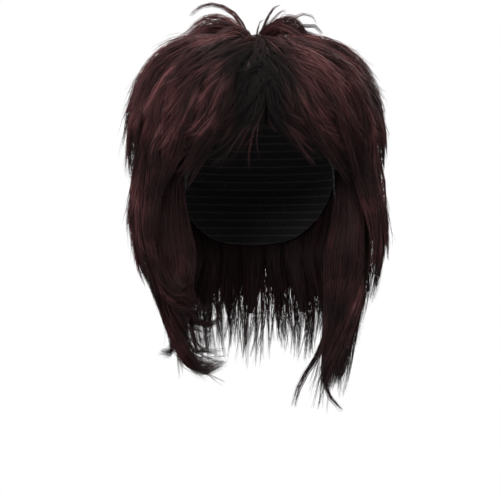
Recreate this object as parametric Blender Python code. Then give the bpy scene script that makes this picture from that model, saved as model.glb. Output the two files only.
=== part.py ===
"""Layered shag wig as it sits on a head: a close cap and the panels of hair sewn to it.

Metres, +Z up, the face looks along -Y and the wearer's left is +X. The origin is where the
crown of the head meets the inside of the cap.

Every piece is laid out in "hair space". An angle turns round the head from the front (0) past
the wearer's left (90) and the back (180). A level runs from the whorl on the crown (0) down to
the ends of the hair (1). A depth runs from the scalp form (0) out to the outline of the hair (1).
"""

import bisect
import functools
import math
from collections import namedtuple

import bmesh
import bpy
import numpy as np

# Head that the cap fits, and the cap
HEAD_BREADTH = 0.150
HEAD_LENGTH = 0.190
HEAD_HEIGHT = 0.225
CAP_WALL = 0.0015
CAP_CLEARANCE = 0.0012
LAYER_CLEARANCE = 0.0010
TUFT_CLEARANCE = 0.0003
PANEL_GAP = 0.0012

# Outline of the hair: how far it stands off the head at its fullest, and how low it hangs
CROWN_LIFT = 0.038
RIGHT_FULLNESS = 0.045
LEFT_FULLNESS = 0.045
FRONT_FULLNESS = 0.017
BACK_FULLNESS = 0.033
HAIR_DROP = 0.312

# Free length of the locks of each layer, below the line where they part
FRINGE_LENGTH = 0.088
CROWN_LENGTH = 0.092
SIDE_LENGTH = 0.096
UNDER_LENGTH = 0.115
NAPE_LENGTH = 0.098
TUFT_LENGTH = 0.068

# Section of a lock
GROOVE_DEPTH = 0.0045
LOCK_TAPER = 2.1
TIP_THICKNESS = 0.0022
TUFT_THICKNESS = 0.0060
TUFT_WIDTH = 0.0180

# Facets
LOCK_COLUMNS = 3
LOCK_ROWS = 7
BAND_STEP = 0.050
CAP_COLUMNS = 36
CAP_ROWS = 10
SLOPE_STEP = 1e-3

HAIR_COLOUR = (0.020, 0.009, 0.009, 1.0)
CAP_COLOUR = (0.010, 0.009, 0.010, 1.0)

# Levels where the layers are rooted and where their locks part
CROWN_ROOT = 0.030
CROWN_SPLIT = 0.30
FRINGE_SPLIT = 0.35
SIDE_ROOT = 0.20
SIDE_SPLIT = 0.55
UNDER_ROOT = 0.45
UNDER_SPLIT = 0.70
TUFT_ROOT = 0.2 * CROWN_ROOT
TUFT_SPLIT = 0.8 * CROWN_ROOT

# Angles where the panels meet
FRINGE_SIDE = 62
UNDER_FRONT = 66
NAPE_SIDE = 120
TUFT_SIDE = 10

# Sections of the outline and of the scalp from the top down. drop is a share of the height of
# the hair or of the head, and the other columns are shares of the half widths to each side, to
# the front and to the back.
Section = namedtuple("Section", "level drop right left front back")
OUTLINE = (
    Section(0.00, 0.000, 0.00, 0.00, 0.00, 0.00),
    Section(0.10, 0.004, 0.45, 0.42, 0.38, 0.38),
    Section(0.14, 0.012, 0.61, 0.56, 0.51, 0.51),
    Section(0.18, 0.031, 0.72, 0.68, 0.62, 0.62),
    Section(0.26, 0.086, 0.87, 0.84, 0.80, 0.78),
    Section(0.34, 0.158, 0.96, 0.94, 0.91, 0.89),
    Section(0.42, 0.247, 1.00, 0.99, 0.96, 0.97),
    Section(0.52, 0.375, 0.99, 0.97, 0.96, 1.00),
    Section(0.62, 0.494, 0.98, 0.99, 0.95, 0.94),
    Section(0.72, 0.612, 0.90, 0.94, 0.86, 0.82),
    Section(0.82, 0.725, 0.73, 0.83, 0.72, 0.70),
    Section(0.91, 0.847, 0.60, 0.72, 0.62, 0.66),
    Section(1.00, 1.000, 0.54, 0.64, 0.58, 0.70),
)
SCALP = (
    Section(0.00, 0.000, 0.00, 0.00, 0.00, 0.00),
    Section(0.10, 0.040, 0.42, 0.42, 0.42, 0.42),
    Section(0.18, 0.097, 0.64, 0.64, 0.64, 0.64),
    Section(0.26, 0.157, 0.79, 0.79, 0.79, 0.79),
    Section(0.34, 0.225, 0.90, 0.90, 0.90, 0.90),
    Section(0.42, 0.303, 0.97, 0.97, 0.97, 0.97),
    Section(0.52, 0.418, 1.00, 1.00, 1.00, 1.00),
    Section(0.62, 0.575, 0.94, 0.94, 0.95, 0.84),
    Section(0.72, 0.754, 0.80, 0.80, 0.80, 0.65),
    Section(0.82, 0.930, 0.75, 0.75, 0.60, 0.58),
    Section(0.91, 1.118, 0.75, 0.75, 0.56, 0.58),
    Section(1.00, 1.367, 0.72, 0.76, 0.54, 0.64),
)

# Where one layer of hair ends and the next lies on it, as depths. The upper layer of each pair
# is rooted on the scalp above the level where its bed leaves depth 0.
Bed = namedtuple("Bed", "level depth")
UPPER_BED = (
    Bed(0.00, 0.00),
    Bed(SIDE_ROOT - 0.05, 0.00),
    Bed(SIDE_ROOT + 0.08, 0.62),
    Bed(SIDE_ROOT + 0.22, 0.80),
    Bed(SIDE_ROOT + 0.32, 0.91),
    Bed(SIDE_ROOT + 0.42, 1.00),
    Bed(1.00, 1.00),
)
LOWER_BED = (
    Bed(0.00, 0.00),
    Bed(UNDER_ROOT - 0.05, 0.00),
    Bed(UNDER_ROOT + 0.07, 0.45),
    Bed(UNDER_ROOT + 0.17, 0.66),
    Bed(UNDER_ROOT + 0.27, 0.84),
    Bed(UNDER_ROOT + 0.37, 0.95),
    Bed(UNDER_ROOT + 0.47, 1.00),
    Bed(1.00, 1.00),
)
# The whorl is a dimple in the crown, where the hair rises from the scalp.
CROWN_TOP = (
    Bed(0.00, 0.45),
    Bed(CROWN_ROOT, 0.62),
    Bed(CROWN_ROOT + 0.06, 0.97),
    Bed(CROWN_ROOT + 0.11, 1.00),
    Bed(1.00, 1.00),
)
# A tuft's foot is rooted on the scalp in the whorl and thins to a sheet at its rim.
TUFT_FOOT = (
    Bed(0.00, 0.00),
    Bed(0.3 * CROWN_ROOT, 0.00),
    Bed(0.7 * CROWN_ROOT, 0.72),
    Bed(1.00, 0.72),
)

# Edge of the cap: front hairline, tab before the ear, arch over it and the nape
Edge = namedtuple("Edge", "angle level")
CAP_EDGE = (
    Edge(0, 0.345),
    Edge(40, 0.385),
    Edge(58, 0.480),
    Edge(69, 0.585),
    Edge(80, 0.525),
    Edge(95, 0.515),
    Edge(115, 0.610),
    Edge(150, 0.680),
    Edge(180, 0.690),
)

# A lock: share of its panel's width, lean from straight down and added turn of its end, in
# degrees towards a higher angle, length as a share of its panel's, and lift of its end off the
# bed as a share of that length.
Lock = namedtuple("Lock", "share lean turn length lift")
FRINGE_RIGHT = (
    Lock(0.26, -2, 8, 0.92, 0.03),
    Lock(0.24, -20, -14, 1.06, 0.02),
    Lock(0.26, -26, -22, 1.04, 0.00),
    Lock(0.24, -25, -30, 0.88, 0.00),
)
FRINGE_LEFT = (
    Lock(0.22, 34, 12, 0.82, 0.00),
    Lock(0.25, 32, 16, 1.02, 0.00),
    Lock(0.27, 24, 12, 1.08, 0.02),
    Lock(0.26, 2, -8, 0.94, 0.03),
)
CROWN_LOCKS = (
    Lock(0.080, 7, -4, 0.90, 0.03),
    Lock(0.095, 6, 14, 1.04, 0.05),
    Lock(0.075, 3, -10, 0.86, 0.03),
    Lock(0.090, 0, 12, 1.08, 0.06),
    Lock(0.075, -3, -10, 0.94, 0.05),
    Lock(0.085, 2, 10, 1.04, 0.05),
    Lock(0.078, -2, -10, 1.00, 0.05),
    Lock(0.088, 3, 10, 0.92, 0.05),
    Lock(0.075, 0, -12, 1.08, 0.06),
    Lock(0.092, -3, 10, 0.86, 0.03),
    Lock(0.078, -6, -14, 1.02, 0.02),
    Lock(0.089, -7, 4, 0.92, 0.02),
)
SIDE_LOCKS_LEFT = (
    Lock(0.22, -4, 8, 0.86, 0.05),
    Lock(0.28, 5, -10, 1.08, 0.08),
    Lock(0.24, -3, 10, 0.92, 0.06),
    Lock(0.26, 2, -8, 1.04, 0.04),
)
SIDE_LOCKS_RIGHT = (
    Lock(0.24, -2, 8, 1.04, 0.04),
    Lock(0.22, 3, -8, 0.92, 0.03),
    Lock(0.30, 6, 12, 1.08, 0.03),
    Lock(0.24, 8, 10, 0.86, 0.03),
)
BACK_LOCKS = (
    Lock(0.16, 0, 12, 1.02, 0.06),
    Lock(0.19, 3, -10, 0.90, 0.05),
    Lock(0.14, -2, 10, 1.08, 0.07),
    Lock(0.18, 2, -10, 1.00, 0.07),
    Lock(0.15, -3, 10, 0.90, 0.05),
    Lock(0.18, 0, -12, 1.04, 0.06),
)
UNDER_LOCKS_LEFT = (
    Lock(0.32, -38, 22, 1.34, 0.02),
    Lock(0.28, -12, 60, 1.24, 0.05),
    Lock(0.23, 2, -14, 1.02, 0.02),
    Lock(0.17, 2, 6, 0.78, 0.03),
)
UNDER_LOCKS_RIGHT = (
    Lock(0.22, -6, -46, 0.66, 0.34),
    Lock(0.20, 4, 44, 1.00, 0.03),
    Lock(0.36, 14, 106, 1.28, 0.04),
    Lock(0.22, 30, 100, 0.74, 0.10),
)
NAPE_LOCKS = (
    Lock(0.135, 4, -12, 0.86, 0.05),
    Lock(0.150, -3, 12, 1.02, 0.09),
    Lock(0.130, 3, -10, 0.92, 0.06),
    Lock(0.160, 0, 8, 1.06, 0.10),
    Lock(0.135, -3, 10, 0.90, 0.06),
    Lock(0.150, 3, -12, 1.04, 0.09),
    Lock(0.140, -4, 12, 0.86, 0.05),
)
TUFTS_LEFT = (
    Lock(0.25, 16, 20, 0.62, 0.50),
    Lock(0.26, 4, 6, 0.80, 0.48),
    Lock(0.25, -6, -8, 0.92, 0.36),
    Lock(0.24, -14, -20, 0.64, 0.40),
)
TUFTS_RIGHT = (
    Lock(0.24, 14, 16, 0.66, 0.40),
    Lock(0.25, 6, 8, 0.88, 0.46),
    Lock(0.26, -4, -6, 1.00, 0.30),
    Lock(0.25, -14, -18, 0.70, 0.40),
)


@functools.lru_cache(maxsize=None)
def curve_of(table, column):
    """A table's levels, a column's values there and its slopes, which keep its rises and falls."""
    x = [float(row[0]) for row in table]
    y = [float(getattr(row, column)) for row in table]
    width = [b - a for a, b in zip(x, x[1:])]
    rise = [(b - a) / w for a, b, w in zip(y, y[1:], width)]
    slope = [rise[0], *([0.0] * (len(x) - 2)), rise[-1]]
    for i in range(1, len(x) - 1):
        if rise[i - 1] * rise[i] > 0:
            before = 2 * width[i] + width[i - 1]
            after = width[i] + 2 * width[i - 1]
            slope[i] = (before + after) / (before / rise[i - 1] + after / rise[i])
    return x, y, slope


def smooth(table, column, at):
    """A column of a table between its rows, on a smooth curve that goes on straight below it."""
    x, y, slope = curve_of(table, column)
    if at > x[-1]:
        return y[-1] + slope[-1] * (at - x[-1])
    k = min(max(bisect.bisect_right(x, at) - 1, 0), len(x) - 2)
    width = x[k + 1] - x[k]
    t = min(max((at - x[k]) / width, 0.0), 1.0)
    value = (1 + 2 * t) * (1 - t) ** 2 * y[k] + t * t * (3 - 2 * t) * y[k + 1]
    return value + width * t * (1 - t) * ((1 - t) * slope[k] - t * slope[k + 1])


def form_point(form, angle, level, top, height, right, left, front, back):
    """Where a form's section at this level has this angle."""
    turn = math.radians(angle)
    across, ahead = math.sin(turn), math.cos(turn)
    side = left * smooth(form, "left", level) if across > 0 else right * smooth(form, "right", level)
    reach = front * smooth(form, "front", level) if ahead > 0 else back * smooth(form, "back", level)
    return np.array([side * across, -reach * ahead, top - height * smooth(form, "drop", level)])


def scalp_point(angle, level):
    """The outside of the cap, and below it the form that the hair hangs round."""
    half_breadth = HEAD_BREADTH / 2 + CAP_WALL
    half_length = HEAD_LENGTH / 2 + CAP_WALL
    return form_point(
        SCALP, angle, level, CAP_WALL, HEAD_HEIGHT, half_breadth, half_breadth, half_length, half_length
    )


def outline_point(angle, level):
    return form_point(
        OUTLINE,
        angle,
        level,
        CROWN_LIFT,
        CROWN_LIFT + HAIR_DROP,
        HEAD_BREADTH / 2 + RIGHT_FULLNESS,
        HEAD_BREADTH / 2 + LEFT_FULLNESS,
        HEAD_LENGTH / 2 + FRONT_FULLNESS,
        HEAD_LENGTH / 2 + BACK_FULLNESS,
    )


def hair_point(angle, level, depth):
    scalp = scalp_point(angle, level)
    return scalp + (outline_point(angle, level) - scalp) * depth


def hair_thickness(angle, level):
    """Metres from the scalp form to the outline, which one unit of depth stands for."""
    return float(np.linalg.norm(outline_point(angle, level) - scalp_point(angle, level)))


def metres_per_turn(angle, level):
    """How far the outline moves for one radian of angle and for one unit of level."""
    here = outline_point(angle, level)
    turned = outline_point(angle + math.degrees(SLOPE_STEP), level)
    lower = outline_point(angle, level + SLOPE_STEP)
    return (
        float(np.linalg.norm(turned - here)) / SLOPE_STEP,
        float(np.linalg.norm(lower - here)) / SLOPE_STEP,
    )


def lock_path(angle, level, lock, length):
    """Points (angle, level, heading) down the middle of a lock from where it parts to its end."""
    step = lock.length * length / LOCK_ROWS
    path = []
    for row in range(LOCK_ROWS + 1):
        share = row / LOCK_ROWS
        heading = math.radians(lock.lean * min(1.0, 2.5 * share) + lock.turn * share**2)
        path.append((angle, level, heading))
        per_turn, per_level = metres_per_turn(angle, level)
        angle += math.degrees(step * math.sin(heading) / per_turn)
        level += step * math.cos(heading) / per_level
    return path


def side_margin(angle, level):
    """Degrees that a panel keeps off its side, so that it clears its neighbour on the scalp."""
    across = scalp_point(angle, level)
    return math.degrees(PANEL_GAP / 2 / math.hypot(across[0], across[1]))


def rising_lift(share):
    return share**2


def arched_lift(share):
    """A tuft springs up from the whorl and comes down again at its end."""
    return math.sin(math.pi * min(1.0, 0.12 + 0.80 * share)) ** 0.8


# A panel of hair between two angles: where its band is rooted and where its locks part, the
# depths of its inner and outer face, its locks, and how their ends lift. widest and thickest
# limit a lock that springs free of the bed.
Panel = namedtuple(
    "Panel",
    "start end root split bed cover locks length lift widest thickest",
    defaults=(rising_lift, math.inf, math.inf),
)


class Skin:
    """Gathers the points and faces of one closed piece."""

    def __init__(self):
        self.mesh = bmesh.new()

    def point(self, angle, level, depth):
        return self.mesh.verts.new(hair_point(angle, level, depth))

    def face(self, *corners):
        self.mesh.faces.new(corners)

    def sheet(self, rows, outward):
        """Faces between rows of points, each row as long as the next."""
        for upper, lower in zip(rows, rows[1:]):
            for i in range(len(upper) - 1):
                corners = (upper[i], upper[i + 1], lower[i + 1], lower[i])
                self.face(*(corners if outward else corners[::-1]))

    def finish(self, name, material):
        bmesh.ops.recalc_face_normals(self.mesh, faces=self.mesh.faces)
        data = bpy.data.meshes.new(name)
        self.mesh.to_mesh(data)
        self.mesh.free()
        if solid_volume(data) < 0:
            data.flip_normals()
        data.shade_smooth()
        data.materials.append(material)
        obj = bpy.data.objects.new(name, data)
        bpy.context.scene.collection.objects.link(obj)
        return obj


def solid_volume(data):
    data.calc_loop_triangles()
    total = 0.0
    for triangle in data.loop_triangles:
        a, b, c = (data.vertices[i].co for i in triangle.vertices)
        total += a.dot(b.cross(c)) / 6
    return total


def finish_material(name, colour, roughness):
    material = bpy.data.materials.new(name)
    material.use_nodes = True
    shader = material.node_tree.nodes["Principled BSDF"]
    shader.inputs["Base Color"].default_value = colour
    shader.inputs["Roughness"].default_value = roughness
    shader.inputs["Metallic"].default_value = 0.0
    return material


def lock_ends(panel):
    """Shares of the panel's width where its locks meet, from 0 to 1."""
    ends = np.concatenate([[0.0], np.cumsum([lock.share for lock in panel.locks])])
    return ends / ends[-1]


def panel_angle(panel, share, level):
    """The panel's angle at a share of its width, kept off the neighbours on both sides."""
    low = panel.start + side_margin(panel.start, level)
    high = panel.end - side_margin(panel.end, level)
    return low + (high - low) * share


def band_depths(panel, angle, level, across):
    """Inner and outer depth. across is 0 on a lock's middle and 1 in the groove beside it."""
    thick = hair_thickness(angle, level)
    inner, outer = panel.bed(angle, level) * thick, panel.cover(angle, level) * thick
    deepening = (level - panel.root) / (panel.split - panel.root)
    groove = min(GROOVE_DEPTH, 0.35 * (outer - inner)) * across**2 * deepening
    return inner / thick, (outer - groove) / thick


def band_levels(panel):
    """Levels of a band's rows, which layers that lie on each other share."""
    first = math.floor(panel.root / BAND_STEP + 1.25)
    last = math.ceil(panel.split / BAND_STEP - 0.25)
    return [panel.root, *(number * BAND_STEP for number in range(first, last)), panel.split]


def hair_band(skin, panel):
    """The part of a panel above the level where its locks part. Gives its rows of points."""
    ends = lock_ends(panel)
    places = [
        (number, column / LOCK_COLUMNS)
        for number in range(len(panel.locks))
        for column in range(LOCK_COLUMNS + (number == len(panel.locks) - 1))
    ]
    inner_rows, outer_rows = [], []
    for level in band_levels(panel):
        inner_row, outer_row = [], []
        for number, place in places:
            angle = panel_angle(panel, ends[number] + (ends[number + 1] - ends[number]) * place, level)
            inner, outer = band_depths(panel, angle, level, abs(2 * place - 1))
            inner_row.append(skin.point(angle, level, inner))
            outer_row.append(skin.point(angle, level, outer))
        inner_rows.append(inner_row)
        outer_rows.append(outer_row)
    skin.sheet(outer_rows, True)
    skin.sheet(inner_rows, False)
    skin.sheet([inner_rows[0], outer_rows[0]], True)
    skin.sheet([[row[0] for row in outer_rows], [row[0] for row in inner_rows]], True)
    skin.sheet([[row[-1] for row in inner_rows], [row[-1] for row in outer_rows]], True)
    return inner_rows, outer_rows


def lock_rows(skin, panel, number):
    """Rows of points round a lock below the band, inner and outer, and the point of its tip."""
    lock = panel.locks[number]
    ends = lock_ends(panel)
    middle = panel_angle(panel, (ends[number] + ends[number + 1]) / 2, panel.split)
    sector = (ends[number + 1] - ends[number]) * math.radians(panel.end - panel.start) / 2
    root_half = sector * metres_per_turn(middle, panel.split)[0]
    inner_rows, outer_rows = [], []
    for row, (angle, level, heading) in enumerate(lock_path(middle, panel.split, lock, panel.length)):
        share = row / LOCK_ROWS
        thick = hair_thickness(angle, level)
        per_turn, per_level = metres_per_turn(angle, level)
        top = panel.cover(angle, level) * thick
        full = min(top - panel.bed(angle, level) * thick, panel.thickest)
        top += lock.lift * lock.length * panel.length * panel.lift(share)
        body = min(full, max(TIP_THICKNESS, full * (1 - share**1.5)))
        half = root_half if panel.widest == math.inf else min(panel.widest / 2, sector * per_turn)
        half *= 1 - share**LOCK_TAPER
        inner_row, outer_row = [], []
        for column in range(LOCK_COLUMNS + 1):
            place = 2 * column / LOCK_COLUMNS - 1
            at_angle = angle + math.degrees(place * half * math.cos(heading) / per_turn)
            at_level = level - place * half * math.sin(heading) / per_level
            groove = min(GROOVE_DEPTH, 0.40 * body) * place**2
            rounding = 0.30 * body * place**2 * share
            if 0 < row < LOCK_ROWS:
                outer_row.append(skin.point(at_angle, at_level, (top - groove) / thick))
                inner_row.append(skin.point(at_angle, at_level, (top - body + rounding) / thick))
        inner_rows.append(inner_row)
        outer_rows.append(outer_row)
    tip = skin.point(angle, level, (top - body / 2) / thick)
    return inner_rows[1:-1], outer_rows[1:-1], tip


def hair_lock(skin, inner_rows, outer_rows, tip):
    """Closes a lock from its rows of points to its tip."""
    skin.sheet(outer_rows, True)
    skin.sheet(inner_rows, False)
    skin.sheet([[row[0] for row in outer_rows], [row[0] for row in inner_rows]], True)
    skin.sheet([[row[-1] for row in inner_rows], [row[-1] for row in outer_rows]], True)
    last_inner, last_outer = inner_rows[-1], outer_rows[-1]
    for i in range(LOCK_COLUMNS):
        skin.face(last_outer[i], last_outer[i + 1], tip)
        skin.face(last_inner[i + 1], last_inner[i], tip)
    skin.face(last_inner[0], last_outer[0], tip)
    skin.face(last_outer[-1], last_inner[-1], tip)


def hair_panel(name, material, panel):
    """One panel of hair: a band rooted on the cap whose locks part at the split level."""
    skin = Skin()
    band_inner, band_outer = hair_band(skin, panel)
    for number in range(len(panel.locks)):
        first, last = number * LOCK_COLUMNS, (number + 1) * LOCK_COLUMNS + 1
        inner_rows, outer_rows, tip = lock_rows(skin, panel, number)
        inner_rows.insert(0, band_inner[-1][first:last])
        outer_rows.insert(0, band_outer[-1][first:last])
        hair_lock(skin, inner_rows, outer_rows, tip)
    return skin.finish(name, material)


def cap_edge(angle):
    """Level of the cap's edge, the same on both sides of the head."""
    return smooth(CAP_EDGE, "level", abs((angle + 180) % 360 - 180))


def cap_normal(angle, level):
    here = scalp_point(angle, level)
    along = scalp_point(angle + 1, level) - here
    down = scalp_point(angle, level + SLOPE_STEP) - here
    normal = np.cross(down, along)
    return normal / np.linalg.norm(normal)


def wig_cap(name, material):
    """The close cap: a dome one wall thick, open below, with its edge cut round the ears."""
    skin = Skin()
    crown = np.array([0.0, 0.0, CAP_WALL])
    outer_top = skin.mesh.verts.new(crown)
    inner_top = skin.mesh.verts.new(crown - np.array([0.0, 0.0, CAP_WALL]))
    outer_rows, inner_rows = [], []
    for row in range(1, CAP_ROWS + 1):
        outer_row, inner_row = [], []
        for column in range(CAP_COLUMNS):
            angle = 360 * column / CAP_COLUMNS
            level = cap_edge(angle) * row / CAP_ROWS
            outer = scalp_point(angle, level)
            outer_row.append(skin.mesh.verts.new(outer))
            inner_row.append(skin.mesh.verts.new(outer - cap_normal(angle, level) * CAP_WALL))
        outer_rows.append([*outer_row, outer_row[0]])
        inner_rows.append([*inner_row, inner_row[0]])
    skin.sheet(outer_rows, True)
    skin.sheet(inner_rows, False)
    skin.sheet([outer_rows[-1], inner_rows[-1]], True)
    for i in range(CAP_COLUMNS):
        skin.face(outer_top, outer_rows[0][i + 1], outer_rows[0][i])
        skin.face(inner_top, inner_rows[0][i], inner_rows[0][i + 1])
    return skin.finish(name, material)


def raised(table, clearance):
    """A bed as a function of angle and level, held a clearance off what lies under it."""

    def depth(angle, level):
        return smooth(table, "depth", level) + clearance / hair_thickness(angle, level)

    return depth


def scalp_bed(angle, level):
    return CAP_CLEARANCE / hair_thickness(angle, level)


def tuft_cover(angle, level):
    return 1.0


def clear_scene():
    for obj in list(bpy.data.objects):
        bpy.data.objects.remove(obj)


def hair_panels():
    """Every panel by its name. Right and left are the wearer's."""
    crown_cover, crown_bed = raised(CROWN_TOP, 0.0), raised(UPPER_BED, LAYER_CLEARANCE)
    side_cover, side_bed = raised(UPPER_BED, 0.0), raised(LOWER_BED, LAYER_CLEARANCE)
    under_cover, tuft_bed = raised(LOWER_BED, 0.0), raised(TUFT_FOOT, TUFT_CLEARANCE)

    def fringe(start, end, locks):
        faces = (scalp_bed, crown_cover)
        return Panel(start, end, CROWN_ROOT, FRINGE_SPLIT, *faces, locks, FRINGE_LENGTH)

    def crown(start, end, locks):
        faces = (crown_bed, crown_cover)
        return Panel(start, end, CROWN_ROOT, CROWN_SPLIT, *faces, locks, CROWN_LENGTH)

    def side(start, end, locks):
        faces = (side_bed, side_cover)
        return Panel(start, end, SIDE_ROOT, SIDE_SPLIT, *faces, locks, SIDE_LENGTH)

    def under(start, end, locks, length):
        faces = (scalp_bed, under_cover)
        return Panel(start, end, UNDER_ROOT, UNDER_SPLIT, *faces, locks, length)

    def tuft(start, end, locks):
        faces = (tuft_bed, tuft_cover)
        size = (TUFT_LENGTH, arched_lift, TUFT_WIDTH, TUFT_THICKNESS)
        return Panel(start, end, TUFT_ROOT, TUFT_SPLIT, *faces, locks, *size)

    return {
        "fringe": fringe(-FRINGE_SIDE, FRINGE_SIDE, FRINGE_RIGHT + FRINGE_LEFT),
        "crown_layer": crown(FRINGE_SIDE, 360 - FRINGE_SIDE, CROWN_LOCKS),
        "side_layer_left": side(FRINGE_SIDE, NAPE_SIDE, SIDE_LOCKS_LEFT),
        "back_layer": side(NAPE_SIDE, 360 - NAPE_SIDE, BACK_LOCKS),
        "side_layer_right": side(-NAPE_SIDE, -FRINGE_SIDE, SIDE_LOCKS_RIGHT),
        "under_layer_left": under(UNDER_FRONT, NAPE_SIDE, UNDER_LOCKS_LEFT, UNDER_LENGTH),
        "nape_layer": under(NAPE_SIDE, 360 - NAPE_SIDE, NAPE_LOCKS, NAPE_LENGTH),
        "under_layer_right": under(-NAPE_SIDE, -UNDER_FRONT, UNDER_LOCKS_RIGHT, UNDER_LENGTH),
        "crown_tuft_left": tuft(TUFT_SIDE, 180 - TUFT_SIDE, TUFTS_LEFT),
        "crown_tuft_right": tuft(180 + TUFT_SIDE, 360 - TUFT_SIDE, TUFTS_RIGHT),
    }


def main():
    clear_scene()
    wig_cap("wig_cap", finish_material("black_cap_net", CAP_COLOUR, 0.80))
    hair = finish_material("dark_burgundy_fibre", HAIR_COLOUR, 0.42)
    for name, panel in hair_panels().items():
        hair_panel(name, hair, panel)


main()
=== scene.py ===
"""Layered shag wig, worn on no head: strands of hair over beds of painted shade, a net cap and a pale
studio.

Every strand is laid out in "hair space", as the part itself is. An angle turns round the head from
the front (0) past the wearer's left (90) and the back (180). A level runs from the whorl on the
crown (0) down to the ends of the hair (1). A depth runs from the scalp (0) out to the outline (1).
Lengths are in metres and angles in degrees, unless a comment says otherwise.
"""

import bisect
import functools
import math
from collections import namedtuple

import bmesh
import bpy
import numpy as np
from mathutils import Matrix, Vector


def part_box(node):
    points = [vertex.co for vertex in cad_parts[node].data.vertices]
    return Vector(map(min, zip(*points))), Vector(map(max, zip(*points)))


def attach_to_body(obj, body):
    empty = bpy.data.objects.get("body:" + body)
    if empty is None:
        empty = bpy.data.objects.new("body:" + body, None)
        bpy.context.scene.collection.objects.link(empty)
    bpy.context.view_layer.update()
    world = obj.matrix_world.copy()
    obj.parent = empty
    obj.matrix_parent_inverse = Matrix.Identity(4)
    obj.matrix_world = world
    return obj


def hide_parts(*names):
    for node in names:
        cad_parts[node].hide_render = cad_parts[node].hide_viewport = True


bl_info = {
    "name": "Shag Wig",
    "version": (1, 0, 0),
    "blender": (4, 5, 0),
    "location": "3D View > Sidebar > Wig",
    "description": "Grows the hair of a layered shag wig over its cap and sets its studio",
    "category": "Object",
}

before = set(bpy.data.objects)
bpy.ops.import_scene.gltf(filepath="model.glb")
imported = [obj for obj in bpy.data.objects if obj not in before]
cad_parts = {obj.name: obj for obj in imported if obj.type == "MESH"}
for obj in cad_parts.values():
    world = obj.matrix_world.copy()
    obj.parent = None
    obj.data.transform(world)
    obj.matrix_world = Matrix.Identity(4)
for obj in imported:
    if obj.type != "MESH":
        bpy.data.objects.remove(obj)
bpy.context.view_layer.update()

# Head, cap and outline of the hair, as the part has them
CAP_WALL = 0.0015
HEAD_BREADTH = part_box("wig_cap")[1][0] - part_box("wig_cap")[0][0] - 2 * CAP_WALL
HEAD_LENGTH = 0.190
HEAD_HEIGHT = 0.225
CAP_CLEARANCE = 0.0012
CROWN_LIFT = 0.038
RIGHT_FULLNESS = 0.045
LEFT_FULLNESS = 0.045
FRONT_FULLNESS = 0.017
BACK_FULLNESS = 0.033
HAIR_DROP = 0.312

# Free length of the locks of each layer, and the section of a lock
FRINGE_LENGTH = 0.088
CROWN_LENGTH = 0.092
SIDE_LENGTH = 0.096
UNDER_LENGTH = 0.115
NAPE_LENGTH = 0.098
GROOVE_DEPTH = 0.0045
TIP_THICKNESS = 0.0022

# Levels where the layers are rooted and where their locks part, and angles where they meet
WHORL_ROOT = 0.004
CROWN_ROOT = 0.030
CROWN_SPLIT = 0.30
FRINGE_SPLIT = 0.35
SIDE_ROOT = 0.20
SIDE_SPLIT = 0.55
UNDER_ROOT = 0.45
UNDER_SPLIT = 0.70
FRINGE_SIDE = 62
UNDER_FRONT = 66
NAPE_SIDE = 120

# Points on a guide above and below the line where the locks part, and on a feather
BAND_POINTS = 7
FREE_POINTS = 10
FEATHER_POINTS = 9
SLOPE_STEP = 1e-3

# How a lock narrows and thins towards its tip, as powers of the way down it, and how fast it
# comes to its full lean
LOCK_TAPER = 2.1
LOCK_THINNING = 1.5
LEAN_RATE = 2.5

# The parting: the power with which the fringe and the crown layer sweep out from it, how far down
# it the fringe is rooted, the share of that which its outermost lock has, the power that crowds
# its roots downwards, the share of its width that a lock has there, and the share of its tone
# that the middle of the fringe keeps under painted shade beside the parting
SWEEP = 2.0
PARTING = 0.28
OUTER_PARTING = 0.60
ROOT_CROWDING = 0.8
PARTED_WIDTH = 0.40
PARTED_TONE = 0.45

# Where the parting lies across the head, how far to each side of it strands are in shade, and
# the heights between which strands come up into the light on the whorl
PARTING_PLACE = -0.006
PARTING_SHADE = 0.046
WHORL_LIGHT = (0.012, 0.032)

# The bed of a layer, dark as painted shade: how far it lies inside the layer's faces, the largest
# share of the thickness that this may be, the share that it comes to at the end, its length as a
# share of its locks', where along that it is closed, its width as a share of theirs, how much of
# that it loses on the way down, and its columns
BED_INSET = 0.0036
BED_ROOM = 0.3
BED_CLOSING = 0.46
BED_LENGTH = 0.64
BED_END = 0.90
BED_WIDTH = 0.97
BED_NARROWING = 0.5
BED_PLACES = (-1.0, -0.6, -0.2, 0.2, 0.6, 1.0)

# Clumps of strands: how far their roots sink, as a share of the thickness, and over how many
# points, how much of a lock's groove they follow and the largest share of the thickness that it
# takes, how thick they are, as a share and at most, how wide they are and how far they stray, as
# shares of half their room, what they lose in width and thickness by the tip, their tones and
# the painted shade that depth takes off them, and how full the outer and the inner ones are
SUNK_ROOT = 0.16
SUNK_POINTS = 3
STRAND_GROOVE = 0.5
GROOVE_ROOM = 0.35
CLUMP_DEPTH = 0.20
LARGEST_DEPTH = 0.0030
CLUMP_WIDTH = 1.3
CLUMP_STRAY = 0.4
CLUMP_NARROWING = 0.45
CLUMP_THINNING = 0.5
CLUMP_TONES = (0.5, 1.4)
TIER_SHADE = 0.5
OUTER_FILL = 1.0
INNER_FILL = 0.50

# How far roots lie beside their place, and the power with which that fades down to the locks
CROSSING = {"parted": 7.0, "swept": 5.0, "straight": 1.5}
CROSSING_FADE = 1.5

# How a clump strays from its lock: its lean and turn, and shares of its length and lift
STRAY_LEAN = 5.0
STRAY_TURN = 9.0
STRAY_LENGTHS = (0.86, 1.05)
STRAY_LIFTS = (0.3, 1.0)

# Clumps that close the front and back edge of a layer: depths, place across the lock, width,
# number at each depth, and tones
EDGE_TIERS = (0.10, 0.26, 0.42, 0.58, 0.74, 0.88)
EDGE_PLACE = 0.97
EDGE_WIDTH = 0.06
EDGE_CLUMPS = 2
EDGE_TONES = (0.5, 1.3)
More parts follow.
